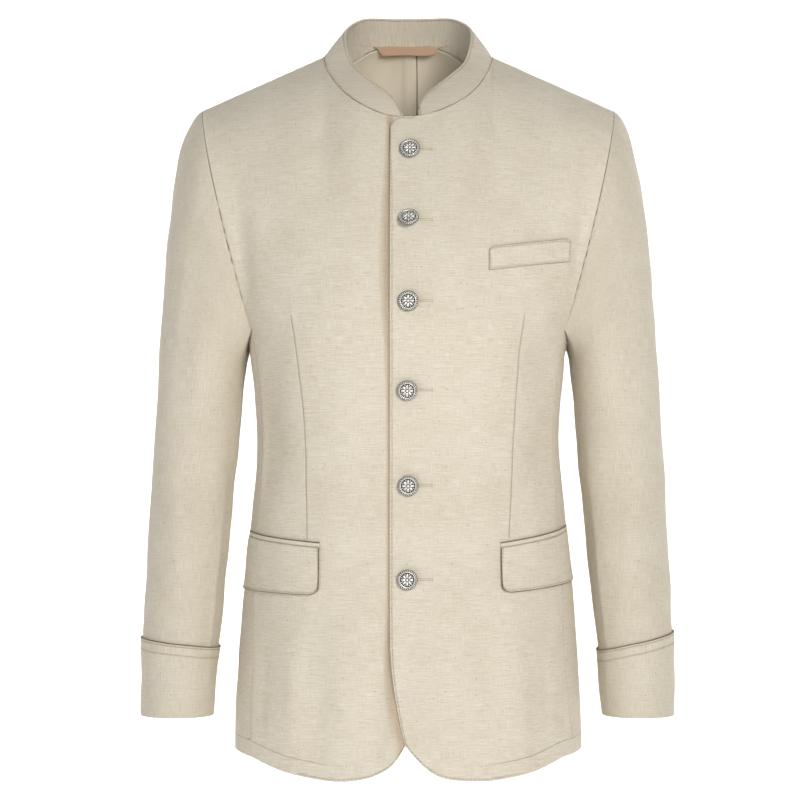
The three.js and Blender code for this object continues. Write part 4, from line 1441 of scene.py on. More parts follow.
@dataclass(frozen=True)
class Ribbed:
    """Cotton tape or viscose lining: closely set ribs one way, a soft gleam across them.

    The ribs' spacing is in cm on the cloth, coarser than a real one's so that it shows.
    """

    name: str
    dark: str
    light: str
    rib: float
    roughness: float
    sheen: float

    def build(self) -> Material:
        """Makes the material.

        Returns:
            The material.
        """
        material, tree, shader = new_material(self.name)
        weave = node(tree, "ShaderNodeUVMap", uv_map="weave").outputs["UV"]
        scale = (1 / self.rib, 0.25 / self.rib, 1)
        place = node(tree, "ShaderNodeMapping", {"Vector": weave, "Scale": scale}).outputs[0]
        inputs = {"Vector": place, "Scale": 1.0, "Detail": 2.0}
        ribs = node(tree, "ShaderNodeTexNoise", inputs).outputs[0]
        colours = {0: ribs, 6: linear(self.dark), 7: linear(self.light)}
        ground = node(tree, "ShaderNodeMix", colours, data_type="RGBA").outputs[2]
        tree.links.new(drawn_lines(tree, ground)[0], shader.inputs["Base Color"])
        relief = {"Height": ribs, "Strength": 0.4, "Distance": 0.0004}
        tree.links.new(node(tree, "ShaderNodeBump", relief).outputs[0], shader.inputs["Normal"])
        shader.inputs["Roughness"].default_value = self.roughness
        shader.inputs["Sheen Weight"].default_value = self.sheen
        return material


@dataclass(frozen=True)
class Pewter:
    """Antique-silver pewter: bright high points polished by wear, dark tarnish left in the hollows,
    and painted shade on the button's outer side wall, underneath it and at the feet of its beads and
    petals.
    """

    name: str = "antique_silver_pewter"
    bright: str = "#F1EFEA"
    tarnish_and_shade_colour: str = "#4B4943"

    def build(self) -> Material:
        """Makes the material.

        Returns:
            The material.
        """
        material, tree, shader = new_material(self.name)
        tarnish_and_shade = node(tree, "ShaderNodeAttribute", attribute_name="tarnish_and_shade").outputs["Fac"]
        place = node(tree, "ShaderNodeTexCoord").outputs["Object"]
        grains = {"Vector": place, "Scale": 900.0, "Detail": 3.0}
        grime = node(tree, "ShaderNodeTexNoise", grains).outputs[0]
        # Darkness: noise grime plus the point attribute, which is tarnish in the hollows and painted
        # shade on the side wall and feet.
        inputs = {0: grime, 1: 0.5, 2: tarnish_and_shade}
        grimy_tarnish_and_shade = node(tree, "ShaderNodeMath", inputs, operation="MULTIPLY_ADD").outputs[0]
        band = {"Value": grimy_tarnish_and_shade, "From Min": 0.5, "From Max": 1.15}
        share = node(tree, "ShaderNodeMapRange", band).outputs[0]
        colours = {0: share, 6: linear(self.bright), 7: linear(self.tarnish_and_shade_colour)}
        colour = node(tree, "ShaderNodeMix", colours, data_type="RGBA").outputs[2]
        tree.links.new(colour, shader.inputs["Base Color"])
        matt = {"Value": share, "To Min": 0.3, "To Max": 0.75}
        roughness = node(tree, "ShaderNodeMapRange", matt).outputs[0]
        tree.links.new(roughness, shader.inputs["Roughness"])
        relief = {"Height": grime, "Strength": 0.15, "Distance": 0.0002}
        tree.links.new(node(tree, "ShaderNodeBump", relief).outputs[0], shader.inputs["Normal"])
        shader.inputs["Metallic"].default_value = 0.6
        return material


@dataclass(frozen=True)
class Matt:
    """Sewing thread or studio paper: one colour, faintly clouded."""

    name: str
    dark: str
    light: str
    cloud: float

    def build(self) -> Material:
        """Makes the material.

        Returns:
            The material.
        """
        material, tree, shader = new_material(self.name)
        place = node(tree, "ShaderNodeTexCoord").outputs["Object"]
        inputs = {"Vector": place, "Scale": self.cloud}
        cloud = node(tree, "ShaderNodeTexNoise", inputs).outputs[0]
        colours = {0: cloud, 6: linear(self.dark), 7: linear(self.light)}
        colour = node(tree, "ShaderNodeMix", colours, data_type="RGBA").outputs[2]
        tree.links.new(colour, shader.inputs["Base Color"])
        shader.inputs["Roughness"].default_value = 0.85
        return material


@dataclass
class Finishes:
    """All materials of the jacket."""

    body: Material
    sleeve: Material
    collar: Material
    piping: Material
    lining: Material
    tape: Material
    thread: Material
    hole: Material
    pewter: Material

    @classmethod
    def make(cls) -> "Finishes":
        """Builds every finish once."""
        return cls(
            body=Linen("linen_body").build(),
            # The sleeves' and cuffs' linen is a darker copy of the body's: painted shade.
            sleeve=Linen("linen_sleeve_shaded", "#C3B8A2", "#E2DBCC", weft=0.5, warp=0.85).build(),
            # The collar's and neck facings' linen is a slightly darker, pinker copy of the body's:
            # painted shade.
            collar=Linen("linen_collar_shaded", "#CABFAB", "#E8DFCE", weft=0.9, warp=0.3).build(),
            piping=Linen("linen_piping", dark="#C2B79F", light="#DAD1BC", weft=0.4).build(),
            lining=Ribbed("viscose_lining", "#EDE1C8", "#F8EDD6", 0.05, 0.55, 0.3).build(),
            tape=Ribbed("cotton_tape", "#BC9579", "#D6B294", 0.06, 0.75, 0.15).build(),
            thread=Matt("linen_thread", "#A99B7E", "#C4B799", 600.0).build(),
            hole=Matt("buttonhole_silk", "#B5A88D", "#D3C8AE", 700.0).build(),
            pewter=Pewter().build(),
        )


# ---- Parts of the jacket
@dataclass
class Jacket:
    """Base of every sub-assembly: keeps the finishes, parents pieces to the root empty and hides the
    CAD parts they stand for.
    """

    finishes: Finishes

    def cloth(
        self,
        made: Object,
        nodes: Sequence[str],
        slot: str,
        grid: Grid,
        held: str,
        on: Sequence[str],
        with_pieces: Sequence[Object] = (),
    ) -> None:
        """Parents a sheet of cloth to the root empty, hides the CAD nodes it stands for and logs its
        cut.

        Args:
            made: The object.
            nodes: CAD nodes it stands for.
            slot: Material slot; not used.
            grid: Its sheet, which gives the cut.
            held: How it is held; not used.
            on: What it lies on or hangs from; not used.
            with_pieces: Narrow strips sewn on it; not used.
        """
        width, length, area = grid.flat()
        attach(made, "root")
        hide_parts(*nodes)
        size = (width * 1000, length * 1000, area * 1e4)
        LOG.info("%s: cut %.0f x %.0f mm, area %.0f cm2", made.name, *size)

    def extra(self, made: Object, slot: str, nodes: Sequence[str] = ()) -> None:
        """Parents sewing or metalwork to the root empty, hides the CAD nodes it stands for and logs
        its faces.

        Args:
            made: The object.
            slot: Material slot; not used.
            nodes: CAD nodes it stands for.
        """
        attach(made, "root")
        if nodes:
            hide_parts(*nodes)
        LOG.info("%s: %d faces", made.name, len(made.data.polygons))


@dataclass
class Body(Jacket):
    """Fronts, backs and side panels."""

    fronts: dict[str, Grid] = field(default_factory=dict)
    backs: dict[str, Grid] = field(default_factory=dict)
    rumple: Rumple = Rumple()
    body_rows: int = 132
    chest_rows: int = 88
    neck_columns: int = 46

    def levels(self) -> np.ndarray:
        """Levels of the rows, -1 hem, 0 underarm, 1 top.

        Returns:
            Rising levels.
        """
        below = np.linspace(-1, 0, self.body_rows + 1)
        above = np.linspace(0, 1, self.chest_rows + 1)[1:]
        return edged([*below, *above])

    def relief(self, face: Face, side: Side, grid: Grid, seams: Sequence[str]) -> np.ndarray:
        """Creases, rumple and seam ripples over a panel.

        Args:
            face: Face of the creases.
            side: Side of the garment.
            grid: The plain sheet.
            seams: Its sewn edges.

        Returns:
            Heights in mm.
        """
        x, z = grid.points[..., 0] * side.sign, grid.points[..., 2]
        away = grid.distances()
        height = self.rumple(grid.points)
        if face is not Face.SLEEVE:
            height = height + crease_height(creases_of(face, side), x, z)
        height = height * np.minimum.reduce([ease(away[edge] / 15) for edge in seams])
        for edge in seams:
            height = height + pucker(grid.points, away[edge])
        return height

    def front(self, side: Side) -> None:
        """Builds one front with its darts and rows of stitches.

        Args:
            side: Side of the garment.
        """
        panel = FrontPanel(side=side)
        angles = np.linspace(side.collar_end, 90, self.neck_columns + 1)
        shares = [*np.linspace(0, LAP_SHARE, 13)[:-1], *panel.share_at(angles)]
        shares = edged([*shares, *np.linspace(FRONT_NECK_SHARE, 1, 44)[1:]])
        points = side.mirror(panel(shares, self.levels()))
        grid = Grid(points, side.sign)
        x, z = points[..., 0] * side.sign, points[..., 2]
        lift = side.lap * (CLOTH + 2 * LAY_GAP) * ease((72 - x) / 36)
        away = grid.distances()
        hem = (away["foot"] - HEM_FOLD) * (HEM_THIN + 30 * (1 - ease((x - 70) / 30)))
        dart = dart_distance(DARTS[side.sign], x, z)
        neck = away["top"] + 40 * ease((x - side.lap_x + 4) / 6)
        foot = away["foot"] + 40 * ease((x - STITCHED_HEM) / 6)
        grid = grid.raised(lift + self.relief(Face.FRONT, side, grid, ("end", "top")))
        grid.lines = {
            "seam": np.where(z > -600, dart, hem),
            "stitch": np.minimum.reduce([away["start"], neck, foot]) - EDGE_STITCH,
        }
        # Painted shadow: a soft warm shadow band on the under front beside the overlapping front's
        # edge, widest at the chest and near the hem.
        if not side.lap:
            shadow_strength = np.exp(-(((z + 215) / 90) ** 2)) + np.exp(-(((z + 690) / 70) ** 2))
            grid.lines["fold"] = (x + FRONT_EDGE(z)["x"]) / (0.35 + 0.65 * shadow_strength)
        name = f"{side.name}_front"
        self.fronts[side.name] = grid.trimmed(("end", "top"))
        made = Shell(f"{name}_cloth", self.fronts[side.name], CLOTH, self.finishes.body).build()
        self.cloth(made, [name], "linen", grid, "hung", ["wearer_shoulders"])
        rows = Stitching(f"{name}_edge_stitching", self.finishes.thread)
        for edge, end in (("start", 999.0), ("top", side.lap_x - 2), ("foot", STITCHED_HEM)):
            path, normals = self.fronts[side.name].inset(edge, EDGE_STITCH)
            keep = path[:, 0] * side.sign < end
            rows.along(path[keep], normals[keep])
        self.extra(rows.build(), "linen")

    def back(self, side: Side) -> None:
        """Builds one back.

        Args:
            side: Side of the garment.
        """
        neck = BackPanel.share_at(np.linspace(90, 180, self.neck_columns - 2)[1:])
        shares = edged([*np.linspace(0, BACK_NECK_SHARE, 46), *neck])
        points = side.mirror(BackPanel()(shares, self.levels()))
        grid = Grid(points, side.sign)
        x = points[..., 0] * side.sign
        away = grid.distances()
        grid.lines = {"seam": HEM_THIN * (away["foot"] - HEM_FOLD - 1)}
        height = self.relief(Face.BACK, side, grid, ("start", "end", "top"))
        grid = grid.raised(height * np.where(x < 0.01, 0.0, 1.0))
        name = f"{side.name}_back"
        self.backs[side.name] = grid.trimmed(("start", "end", "top"))
        made = Shell(f"{name}_cloth", self.backs[side.name], CLOTH, self.finishes.body).build()
        self.cloth(made, [name], "linen", grid, "hung", ["wearer_shoulders"])

    def side_panel(self, side: Side) -> None:
        """Builds one side panel.

        Args:
            side: Side of the garment.
        """
        shares = edged(np.linspace(0, 1, 27))
        levels = edged(np.linspace(-1, 0, self.body_rows + 1))
        points = side.mirror(side_grid(shares, levels, side.swing))
        grid = Grid(points, side.sign)
        away = grid.distances()
        hem = HEM_THIN * (away["foot"] - HEM_FOLD)
        grid.lines = {"seam": np.minimum.reduce([hem, away["start"], away["end"]])}
        grid = grid.raised(self.relief(Face.SLEEVE, side, grid, ("start", "end", "top")))
        name = f"{side.name}_side_panel"
        trimmed = grid.trimmed(("start", "end", "top"))
        made = Shell(f"{name}_cloth", trimmed, CLOTH, self.finishes.body).build()
        self.cloth(made, [name], "linen", grid, "hung", ["wearer_shoulders"])

    def build(self) -> "Body":
        """Builds all body panels."""
        for side in SIDES:
            self.front(side)
            self.back(side)
            self.side_panel(side)
        return self


@dataclass
class Sleeves(Jacket):
    """Top and under sleeves with turned-up cuffs and their piping."""

    rumple: Rumple = Rumple()
    arm_rows: int = 104
    head_rows: int = 72
    per_column: int = 6

    def relief(self, side: Side, grid: Grid, columns: np.ndarray) -> np.ndarray:
        """Creases and rumple over a sleeve.

        Args:
            side: Side of the garment.
            grid: The plain sheet.
            columns: Places round the armhole.

        Returns:
            Heights in mm.
        """
        angle = arm_angle(columns)[None, :] * ARM_DEGREE + np.zeros(grid.points.shape[:2])
        rows = creases_of(Face.SLEEVE, side)
        creases = crease_height(rows, angle, grid.points[..., 2], 360 * ARM_DEGREE)
        return creases + 1.25 * self.rumple(grid.points)

    def sleeve(self, side: Side, kind: str, first: float, last: float) -> None:
        """Builds one sleeve part.

        Args:
            side: Side of the garment.
            kind: Name of the part.
            first: Its first place round the armhole.
            last: Its last place.
        """
        count = int((last - first) * self.per_column)
        columns = edged(np.linspace(first, last, count + 1))
        arm, head = np.linspace(0, 1, self.arm_rows + 1), np.linspace(1, 2, self.head_rows + 1)
        points = sleeve_grid(columns, edged([*arm, *head[1:]]))
        grid = Grid(side.mirror(points), side.sign)
        away = grid.distances()
        height = self.relief(side, grid, columns) * ease(away["top"] / 14)
        for edge in ("start", "end", "top"):
            height = height + pucker(grid.points, away[edge])
        grid = grid.raised(height)
        name = f"{side.name}_{kind}"
        trimmed = grid.trimmed(("start", "end", "top"))
        made = Shell(f"{name}_cloth", trimmed, CLOTH, self.finishes.sleeve).build()
        self.cloth(made, [name], "linen", grid, "hung", ["wearer_shoulders"])

    def cuff(self, side: Side) -> None:
        """Builds one cuff, its piping and its stitching.

        Args:
            side: Side of the garment.
        """
        columns = np.linspace(0, LOOP, 127)[:-1]
        angle = arm_angle(columns)
        top = mix(side.cuff_inner, side.cuff_outer, (1 + np.cos(np.radians(angle))) / 2)
        name = f"{side.name}_cuff"
        wrist = np.full_like(top, CUFF_END_Z)
        sleeve, piping = self.finishes.sleeve, self.finishes.piping
        bands = (
            ("", wrist, top, 26, CLOTH, sleeve, 0.15),
            ("_piping", top + SEAM_GAP, top + 3.2, 5, CLOTH + 0.25, piping, 0.0),
        )
        for kind, low, high, rows, thickness, material, bulge in bands:
            up = edged(np.linspace(0, 1, rows + 1))[:, None]
            points = side.mirror(arm_point(angle[None, :], mix(low, high, up)))
            grid = Grid(points, side.sign, True)
            grid = grid.raised(self.relief(side, grid, columns) + bulge)
            away = grid.distances()["top"]
            # On the piping, a dark rim along its top edge: painted shade.
            grid.lines = {"rim": away - 0.5} if kind else {"stitch": away - CUFF_STITCH}
            out = LAY_GAP + thickness
            made = Shell(f"{name}{kind}_cloth", grid, thickness, material, out).build()
            if kind:
                self.extra(made, "piping", [f"{name}{kind}"])
                sleeve_name = f"{side.name}_top_sleeve"
                self.cloth(cuff, [name], "linen", whole, "folded", [sleeve_name], [made])
            else:
                cuff, whole = made, grid
                face = grid.raised(np.full(points.shape[:2], out))
                row = Stitching(f"{name}_stitching", self.finishes.thread)
                self.extra(row.along(*face.inset("top", CUFF_STITCH)).build(), "linen")

    def build(self) -> None:
        """Builds both sleeves."""
        for side in SIDES:
            self.sleeve(side, "top_sleeve", FRONT_ARM_SEAM, BACK_ARM_SEAM)
            self.sleeve(side, "under_sleeve", BACK_ARM_SEAM, LOOP + FRONT_ARM_SEAM)
            self.cuff(side)


@dataclass
class Collar(Jacket):
    """Stand collar over the neck seam."""

    body: Optional[Body] = None
    rows: int = 24

    def build(self) -> None:
        """Builds the collar and its edge stitching."""
        count = self.body.neck_columns
        edge: list[np.ndarray] = []
        for side in (LEFT, RIGHT):
            front = self.body.fronts[side.name].points[-1]
            back = self.body.backs[side.name].points[-1]
            first = int(np.argmin(np.abs(front[:, 0] * side.sign - side.lap_x)))
            last = int(np.argmin(np.abs(front[:, 0] * side.sign - NECK_HALF)))
            corner = int(np.argmin(np.abs(back[:, 0] * side.sign - NECK_HALF)))
            half = np.concatenate([front[first : last + 1], back[corner + 1 :]])
            edge.append(half if side is LEFT else half[::-1][1:])
        foot = np.concatenate(edge)
        reach = np.where(foot[:, 1] < NECK_Y, NECK_FRONT, NECK_BACK)
        angle = np.degrees(np.arctan2(foot[:, 0] / NECK_HALF, (NECK_Y - foot[:, 1]) / reach)) % 360
        folded = np.where(angle > 180, 360 - angle, angle)
        rim = COLLAR_RIM(folded)
        x = rim["reach"] * np.sin(np.radians(folded)) * np.where(angle > 180, -1, 1)
        top = np.stack([x, NECK_Y - rim["reach"] * np.cos(np.radians(folded)), rim["z"]], -1)
        sine, cosine = np.sin(np.radians(angle)), np.cos(np.radians(angle))
        lean = np.stack([sine, -cosine, np.zeros_like(angle)], -1)
        up = edged(np.linspace(0, 1, self.rows + 1))[:, None, None]
        points = mix(foot, top, up) + lean * 7 * up * (1 - up)
        grid = Grid(points, 1)
        away = grid.distances()
        height = 0.7 * Rumple(seed=11)(points) * ease(away["foot"] / 8)
        grid = grid.raised(height + pucker(points, away["foot"])).trimmed(("foot",), 0.3)
        rim = np.minimum.reduce([away["top"], away["start"], away["end"]])
        grid.lines = {"stitch": rim - COLLAR_STITCH}
        shell = Shell("collar_cloth", grid, COLLAR_CLOTH, self.finishes.collar)
        shell.rounding, shell.turned_weave = 0.7, True
        on = ["left_front", "right_front", "left_back", "right_back"]
        self.cloth(shell.build(), ["collar"], "linen", grid, "stretched", on)
        row = Stitching("collar_edge_stitching", self.finishes.thread)
        for side_edge in ("top", "start", "end"):
            row.along(*grid.inset(side_edge, COLLAR_STITCH))
        inner = grid.raised(np.full(points.shape[:2], -COLLAR_CLOTH))
        path, normals = inner.inset("top", COLLAR_STITCH)
        row.along(path, -normals)
        path, normals = inner.inset("foot", 1.6)
        level = inner.level_line(COLLAR_ROW_Z, path[:, 2] + 0.4)
        keep = (np.abs(path[:, 0]) < 66) & (path[:, 1] > NECK_Y)
        row.along(level[keep], -normals[keep])
        self.extra(row.build(), "linen")


@dataclass
class Pockets(Jacket):
    """Flaps with their jets, and the breast welt."""

    body: Optional[Body] = None

    def lie(self, side: Side, z: np.ndarray, angle: np.ndarray) -> Grid:
        """Lays a grid on the front's relief.

        Args:
            side: Side of the garment.
            z: Heights of its points.
            angle: Their angles round the body.

        Returns:
            The sheet on the front.
        """
        points = body_point(angle, z)
        height = crease_height(creases_of(Face.FRONT, side), points[..., 0], z)
        grid = Grid(side.mirror(points), side.sign)
        return grid.raised(np.maximum(height, -0.4) + self.body.rumple(grid.points) + 0.3)

    def pocket(self, side: Side) -> None:
        """Builds one flap with its jet and stitching.

        Args:
            side: Side of the garment.
        """
        flap = FLAPS(side.sign)
        across = edged([*0.1 * np.linspace(0, 1, 13) ** 1.7, *np.linspace(0.1, 1, 40)[1:]])
        top = mix(flap["inner_top"], flap["outer_top"], across)
        corner = 9.0 * (1 - np.sqrt(1 - np.maximum(0, 1 - across / 0.1) ** 2))
        foot = mix(flap["inner_foot"], flap["outer_foot"], across) + corner
        for kind, low, high, rows, thickness in (
            ("pocket_flap", foot, top, 18, CLOTH),
            ("pocket_jet", top + SEAM_GAP, top + 6.2, 6, TRIM_CLOTH),
        ):
            up = edged(np.linspace(0, 1, rows + 1))[:, None]
            z = mix(low, high, up)
            half = BODY(z)["half"]
            angle = mix(angle_at(flap["x"], half), angle_at(0.985 * half, half), across)
            grid = self.lie(side, z, angle)
            away = grid.distances()
            if kind == "pocket_flap":
                curl = 1.3 * np.exp(-away["foot"] / 7) + 0.8 * np.exp(-away["start"] / 7)
                grid = grid.raised(curl)
                rim = np.minimum(away["foot"], away["start"])
                # Dark rim along the flap's foot and inner edge: painted shadow under the flap,
                # partly a dark piping line.
                grid.lines = {"rim": 1.3 * rim, "stitch": rim - FLAP_STITCH}
            else:
                # Dark rim along the jet's top edge: partly a dark piping line, partly painted shade.
                grid.lines = {"rim": away["top"] - 0.7, "seam": away["foot"] - 0.5}
            name = f"{side.name}_{kind}"
            out = LAY_GAP + thickness
            made = Shell(f"{name}_cloth", grid, thickness, self.finishes.body, out).build()
            if kind == "pocket_jet":
                self.extra(made, "linen", [name])
                on = [f"{side.name}_front"]
                self.cloth(cloth, [flap_name], "linen", whole, "laid", on, [made])
            else:
                cloth, whole, flap_name = made, grid, name
                face = grid.raised(np.full(z.shape, out))
                row = Stitching(f"{side.name}_flap_stitching", self.finishes.thread)
                for edge in ("foot", "start"):
                    row.along(*face.inset(edge, FLAP_STITCH))
                self.extra(row.build(), "linen")

    def welt(self) -> None:
        """Builds the breast welt and its stitching."""
        bend = 0.07 * np.linspace(0, 1, 9) ** 1.7
        across = edged([*bend, *np.linspace(0.07, 0.93, 34)[1:-1], *(1 - bend[::-1])])
        corner = np.maximum(0, 1 - 15 * np.minimum(across, 1 - across))
        rounding = 5 * (1 - np.sqrt(1 - corner**2))
        up = edged(np.linspace(0, 1, 11))[:, None]
        x = mix(*WELT_X, across) + 0 * up
        z = mix(mix(*WELT_FOOT, across), mix(*WELT_TOP, across) - rounding, up)
        front = self.body.fronts["left"]
        places = zip(x.ravel().tolist(), z.ravel().tolist())
        points = np.array([front.seat(a, b)[0] for a, b in places])
        grid = Grid(points.reshape(*z.shape, 3), 1).raised(np.full(z.shape, 0.25))
        rim = np.minimum.reduce([grid.distances()[edge] for edge in EDGES])
        # The dark seam line round the welt's edges is partly its sewn edge and partly painted shade
        # at its rim.
        grid.lines = {"seam": rim, "stitch": rim - WELT_STITCH}
        shell = Shell("breast_welt_cloth", grid, CLOTH, self.finishes.body, LAY_GAP + CLOTH)
        self.cloth(shell.build(), ["breast_welt"], "linen", grid, "laid", ["left_front"])
        face = grid.raised(np.full(z.shape, LAY_GAP + CLOTH))
        row = Stitching("breast_welt_stitching", self.finishes.thread)
        for edge in ("top", "start", "end"):
            row.along(*face.inset(edge, WELT_STITCH))
        self.extra(row.build(), "linen")

    def build(self) -> None:
        """Builds the pockets."""
        for side in SIDES:
            self.pocket(side)
        self.welt()


@dataclass
class NeckInside(Jacket):
    """Back lining with its ease pleat, the neck facings and the hanger loop."""

    lining_top: float = 1.008
    lining_foot: float = 0.625

    def edge_angle(self, level: Values) -> Values:
        """Angle round the neck of the lining's edge at a level."""
        return 153 - 34 * (1 - np.exp(-28 * (self.lining_top - level)))

    def inside(self, angle: np.ndarray, level: np.ndarray) -> np.ndarray:
        """The back's outer surface inside the neck.

        Args:
            angle: Angles round the neck in degrees.
            level: Levels of the back panel.

        Returns:
            One point for each angle.
        """
        folded = np.where(angle > 180, 360 - angle, angle)
        panel = BackPanel()
        share = panel.share_at(folded)
        top = panel.top(share.ravel()).reshape(share.shape)
        points = panel.column(share, level * (1 - (1 - top) * level * level))
        points[..., 0] *= np.where(angle > 180, -1, 1)
        return points

    def level_at(self, angle: np.ndarray, z: np.ndarray) -> np.ndarray:
        """Levels at which the back reaches heights.

        Args:
            angle: Angles round the neck.
            z: Heights.

        Returns:
            Levels of the back panel.
        """
        steps = np.linspace(0.8, 0.995, 60)
        turned = angle[..., None]
        heights = self.inside(turned + 0 * steps, steps + 0 * turned)[..., 2]
        columns = heights.reshape(-1, len(steps))
        flat = [np.interp(at, column, steps) for at, column in zip(z.ravel(), columns)]
        return np.array(flat).reshape(z.shape)

    def lining(self) -> None:
        """Builds the lining."""
        rise = 1 - np.linspace(1, 0, 57) ** 1.9
        level = edged(mix(self.lining_foot, self.lining_top, rise))[:, None]
        across = edged(np.linspace(-1, 1, 111))[None, :]
        angle = 180 + across * (180 - self.edge_angle(level))
        grid = Grid(self.inside(angle, level + 0 * across), 1)
        x = grid.points[..., 0]
        near, far = np.clip((x + 6) / 11, 0, 1), np.clip((9 - x) / 1.6, 0, 1)
        pleat = np.where((x < -6) | (x > 9), 0, 3 * near * far)
        depth = CLOTH + LINING_CLEAR
        grid = grid.raised(-pleat - depth + 0.25 * Rumple(seed=5)(grid.points))
        # Dark rim at the pleat's edge: painted shadow.
        grid.lines = {"rim": 0.8 * (x - 8.4), "stitch": 1.4 * (x + 5.2)}
        made = Shell("back_lining_cloth", grid, LINING_CLOTH, self.finishes.lining).build()
        self.cloth(made, ["back_lining"], "lining", grid, "hung", ["left_back", "right_back"])

    def facing(self, side: Side) -> None:
        """Builds one neck facing.

        Args:
            side: Side of the garment.
        """
        level = edged(np.linspace(0.84, 0.95, 25))[:, None]
        across = edged(np.linspace(0, 1, 31))[None, :]
        angle = mix(92, self.edge_angle(level) - 0.8, across)
        points = side.mirror(self.inside(angle, level + 0 * across))
        depth = CLOTH + LINING_CLEAR
        grid = Grid(points, side.sign).raised(np.full(points.shape[:2], -depth))
        name = f"{side.name}_neck_facing"
        made = Shell(f"{name}_cloth", grid, LINING_CLOTH, self.finishes.collar).build()
        self.cloth(made, [name], "lining", grid, "laid", [f"{side.name}_back"])

    def loop(self) -> None:
        """Builds the hanger loop with the stitching at its edges."""
        up = edged(np.linspace(0, 1, 7))[:, None]
        across = edged(np.linspace(-1, 1, 61))[None, :]
        angle = 180 + mix(18.5, 25, up) * across
        level = self.level_at(angle, mix(*LOOP_Z, up) + 0 * across)
        grid = Grid(self.inside(angle, level), 1)
        depth = CLOTH + LINING_CLEAR + LINING_CLOTH + 2.7 * LAY_GAP
        points = grid.raised(np.full(level.shape, -depth)).points
        points[..., 1] = points[..., 1].min() + 0.4 * np.sin(across * 7) * (1 - up)
        points[..., 2] = mix(*LOOP_Z, up) + 0.3 * np.sin(across * 5 + 1) * (1 - up)
        grid = Grid(points, 1)
        made = Shell("hanger_loop_tape", grid, TRIM_CLOTH, self.finishes.tape).build()
        self.cloth(made, ["hanger_loop"], "tape", grid, "hung", ["back_lining"])
        face = grid.raised(np.full(grid.points.shape[:2], -TRIM_CLOTH))
        row = Stitching("hanger_loop_stitching", self.finishes.hole, 1.8, 3.2, 0.25)
        for edge in EDGES:
            path, normals = face.inset(edge, 1.3)
            row.along(path, -normals)
        self.extra(row.build(), "tape")

    def build(self) -> None:
        """Builds the inside of the neck."""
        self.lining()
        self.loop()
        for side in SIDES:
            self.facing(side)


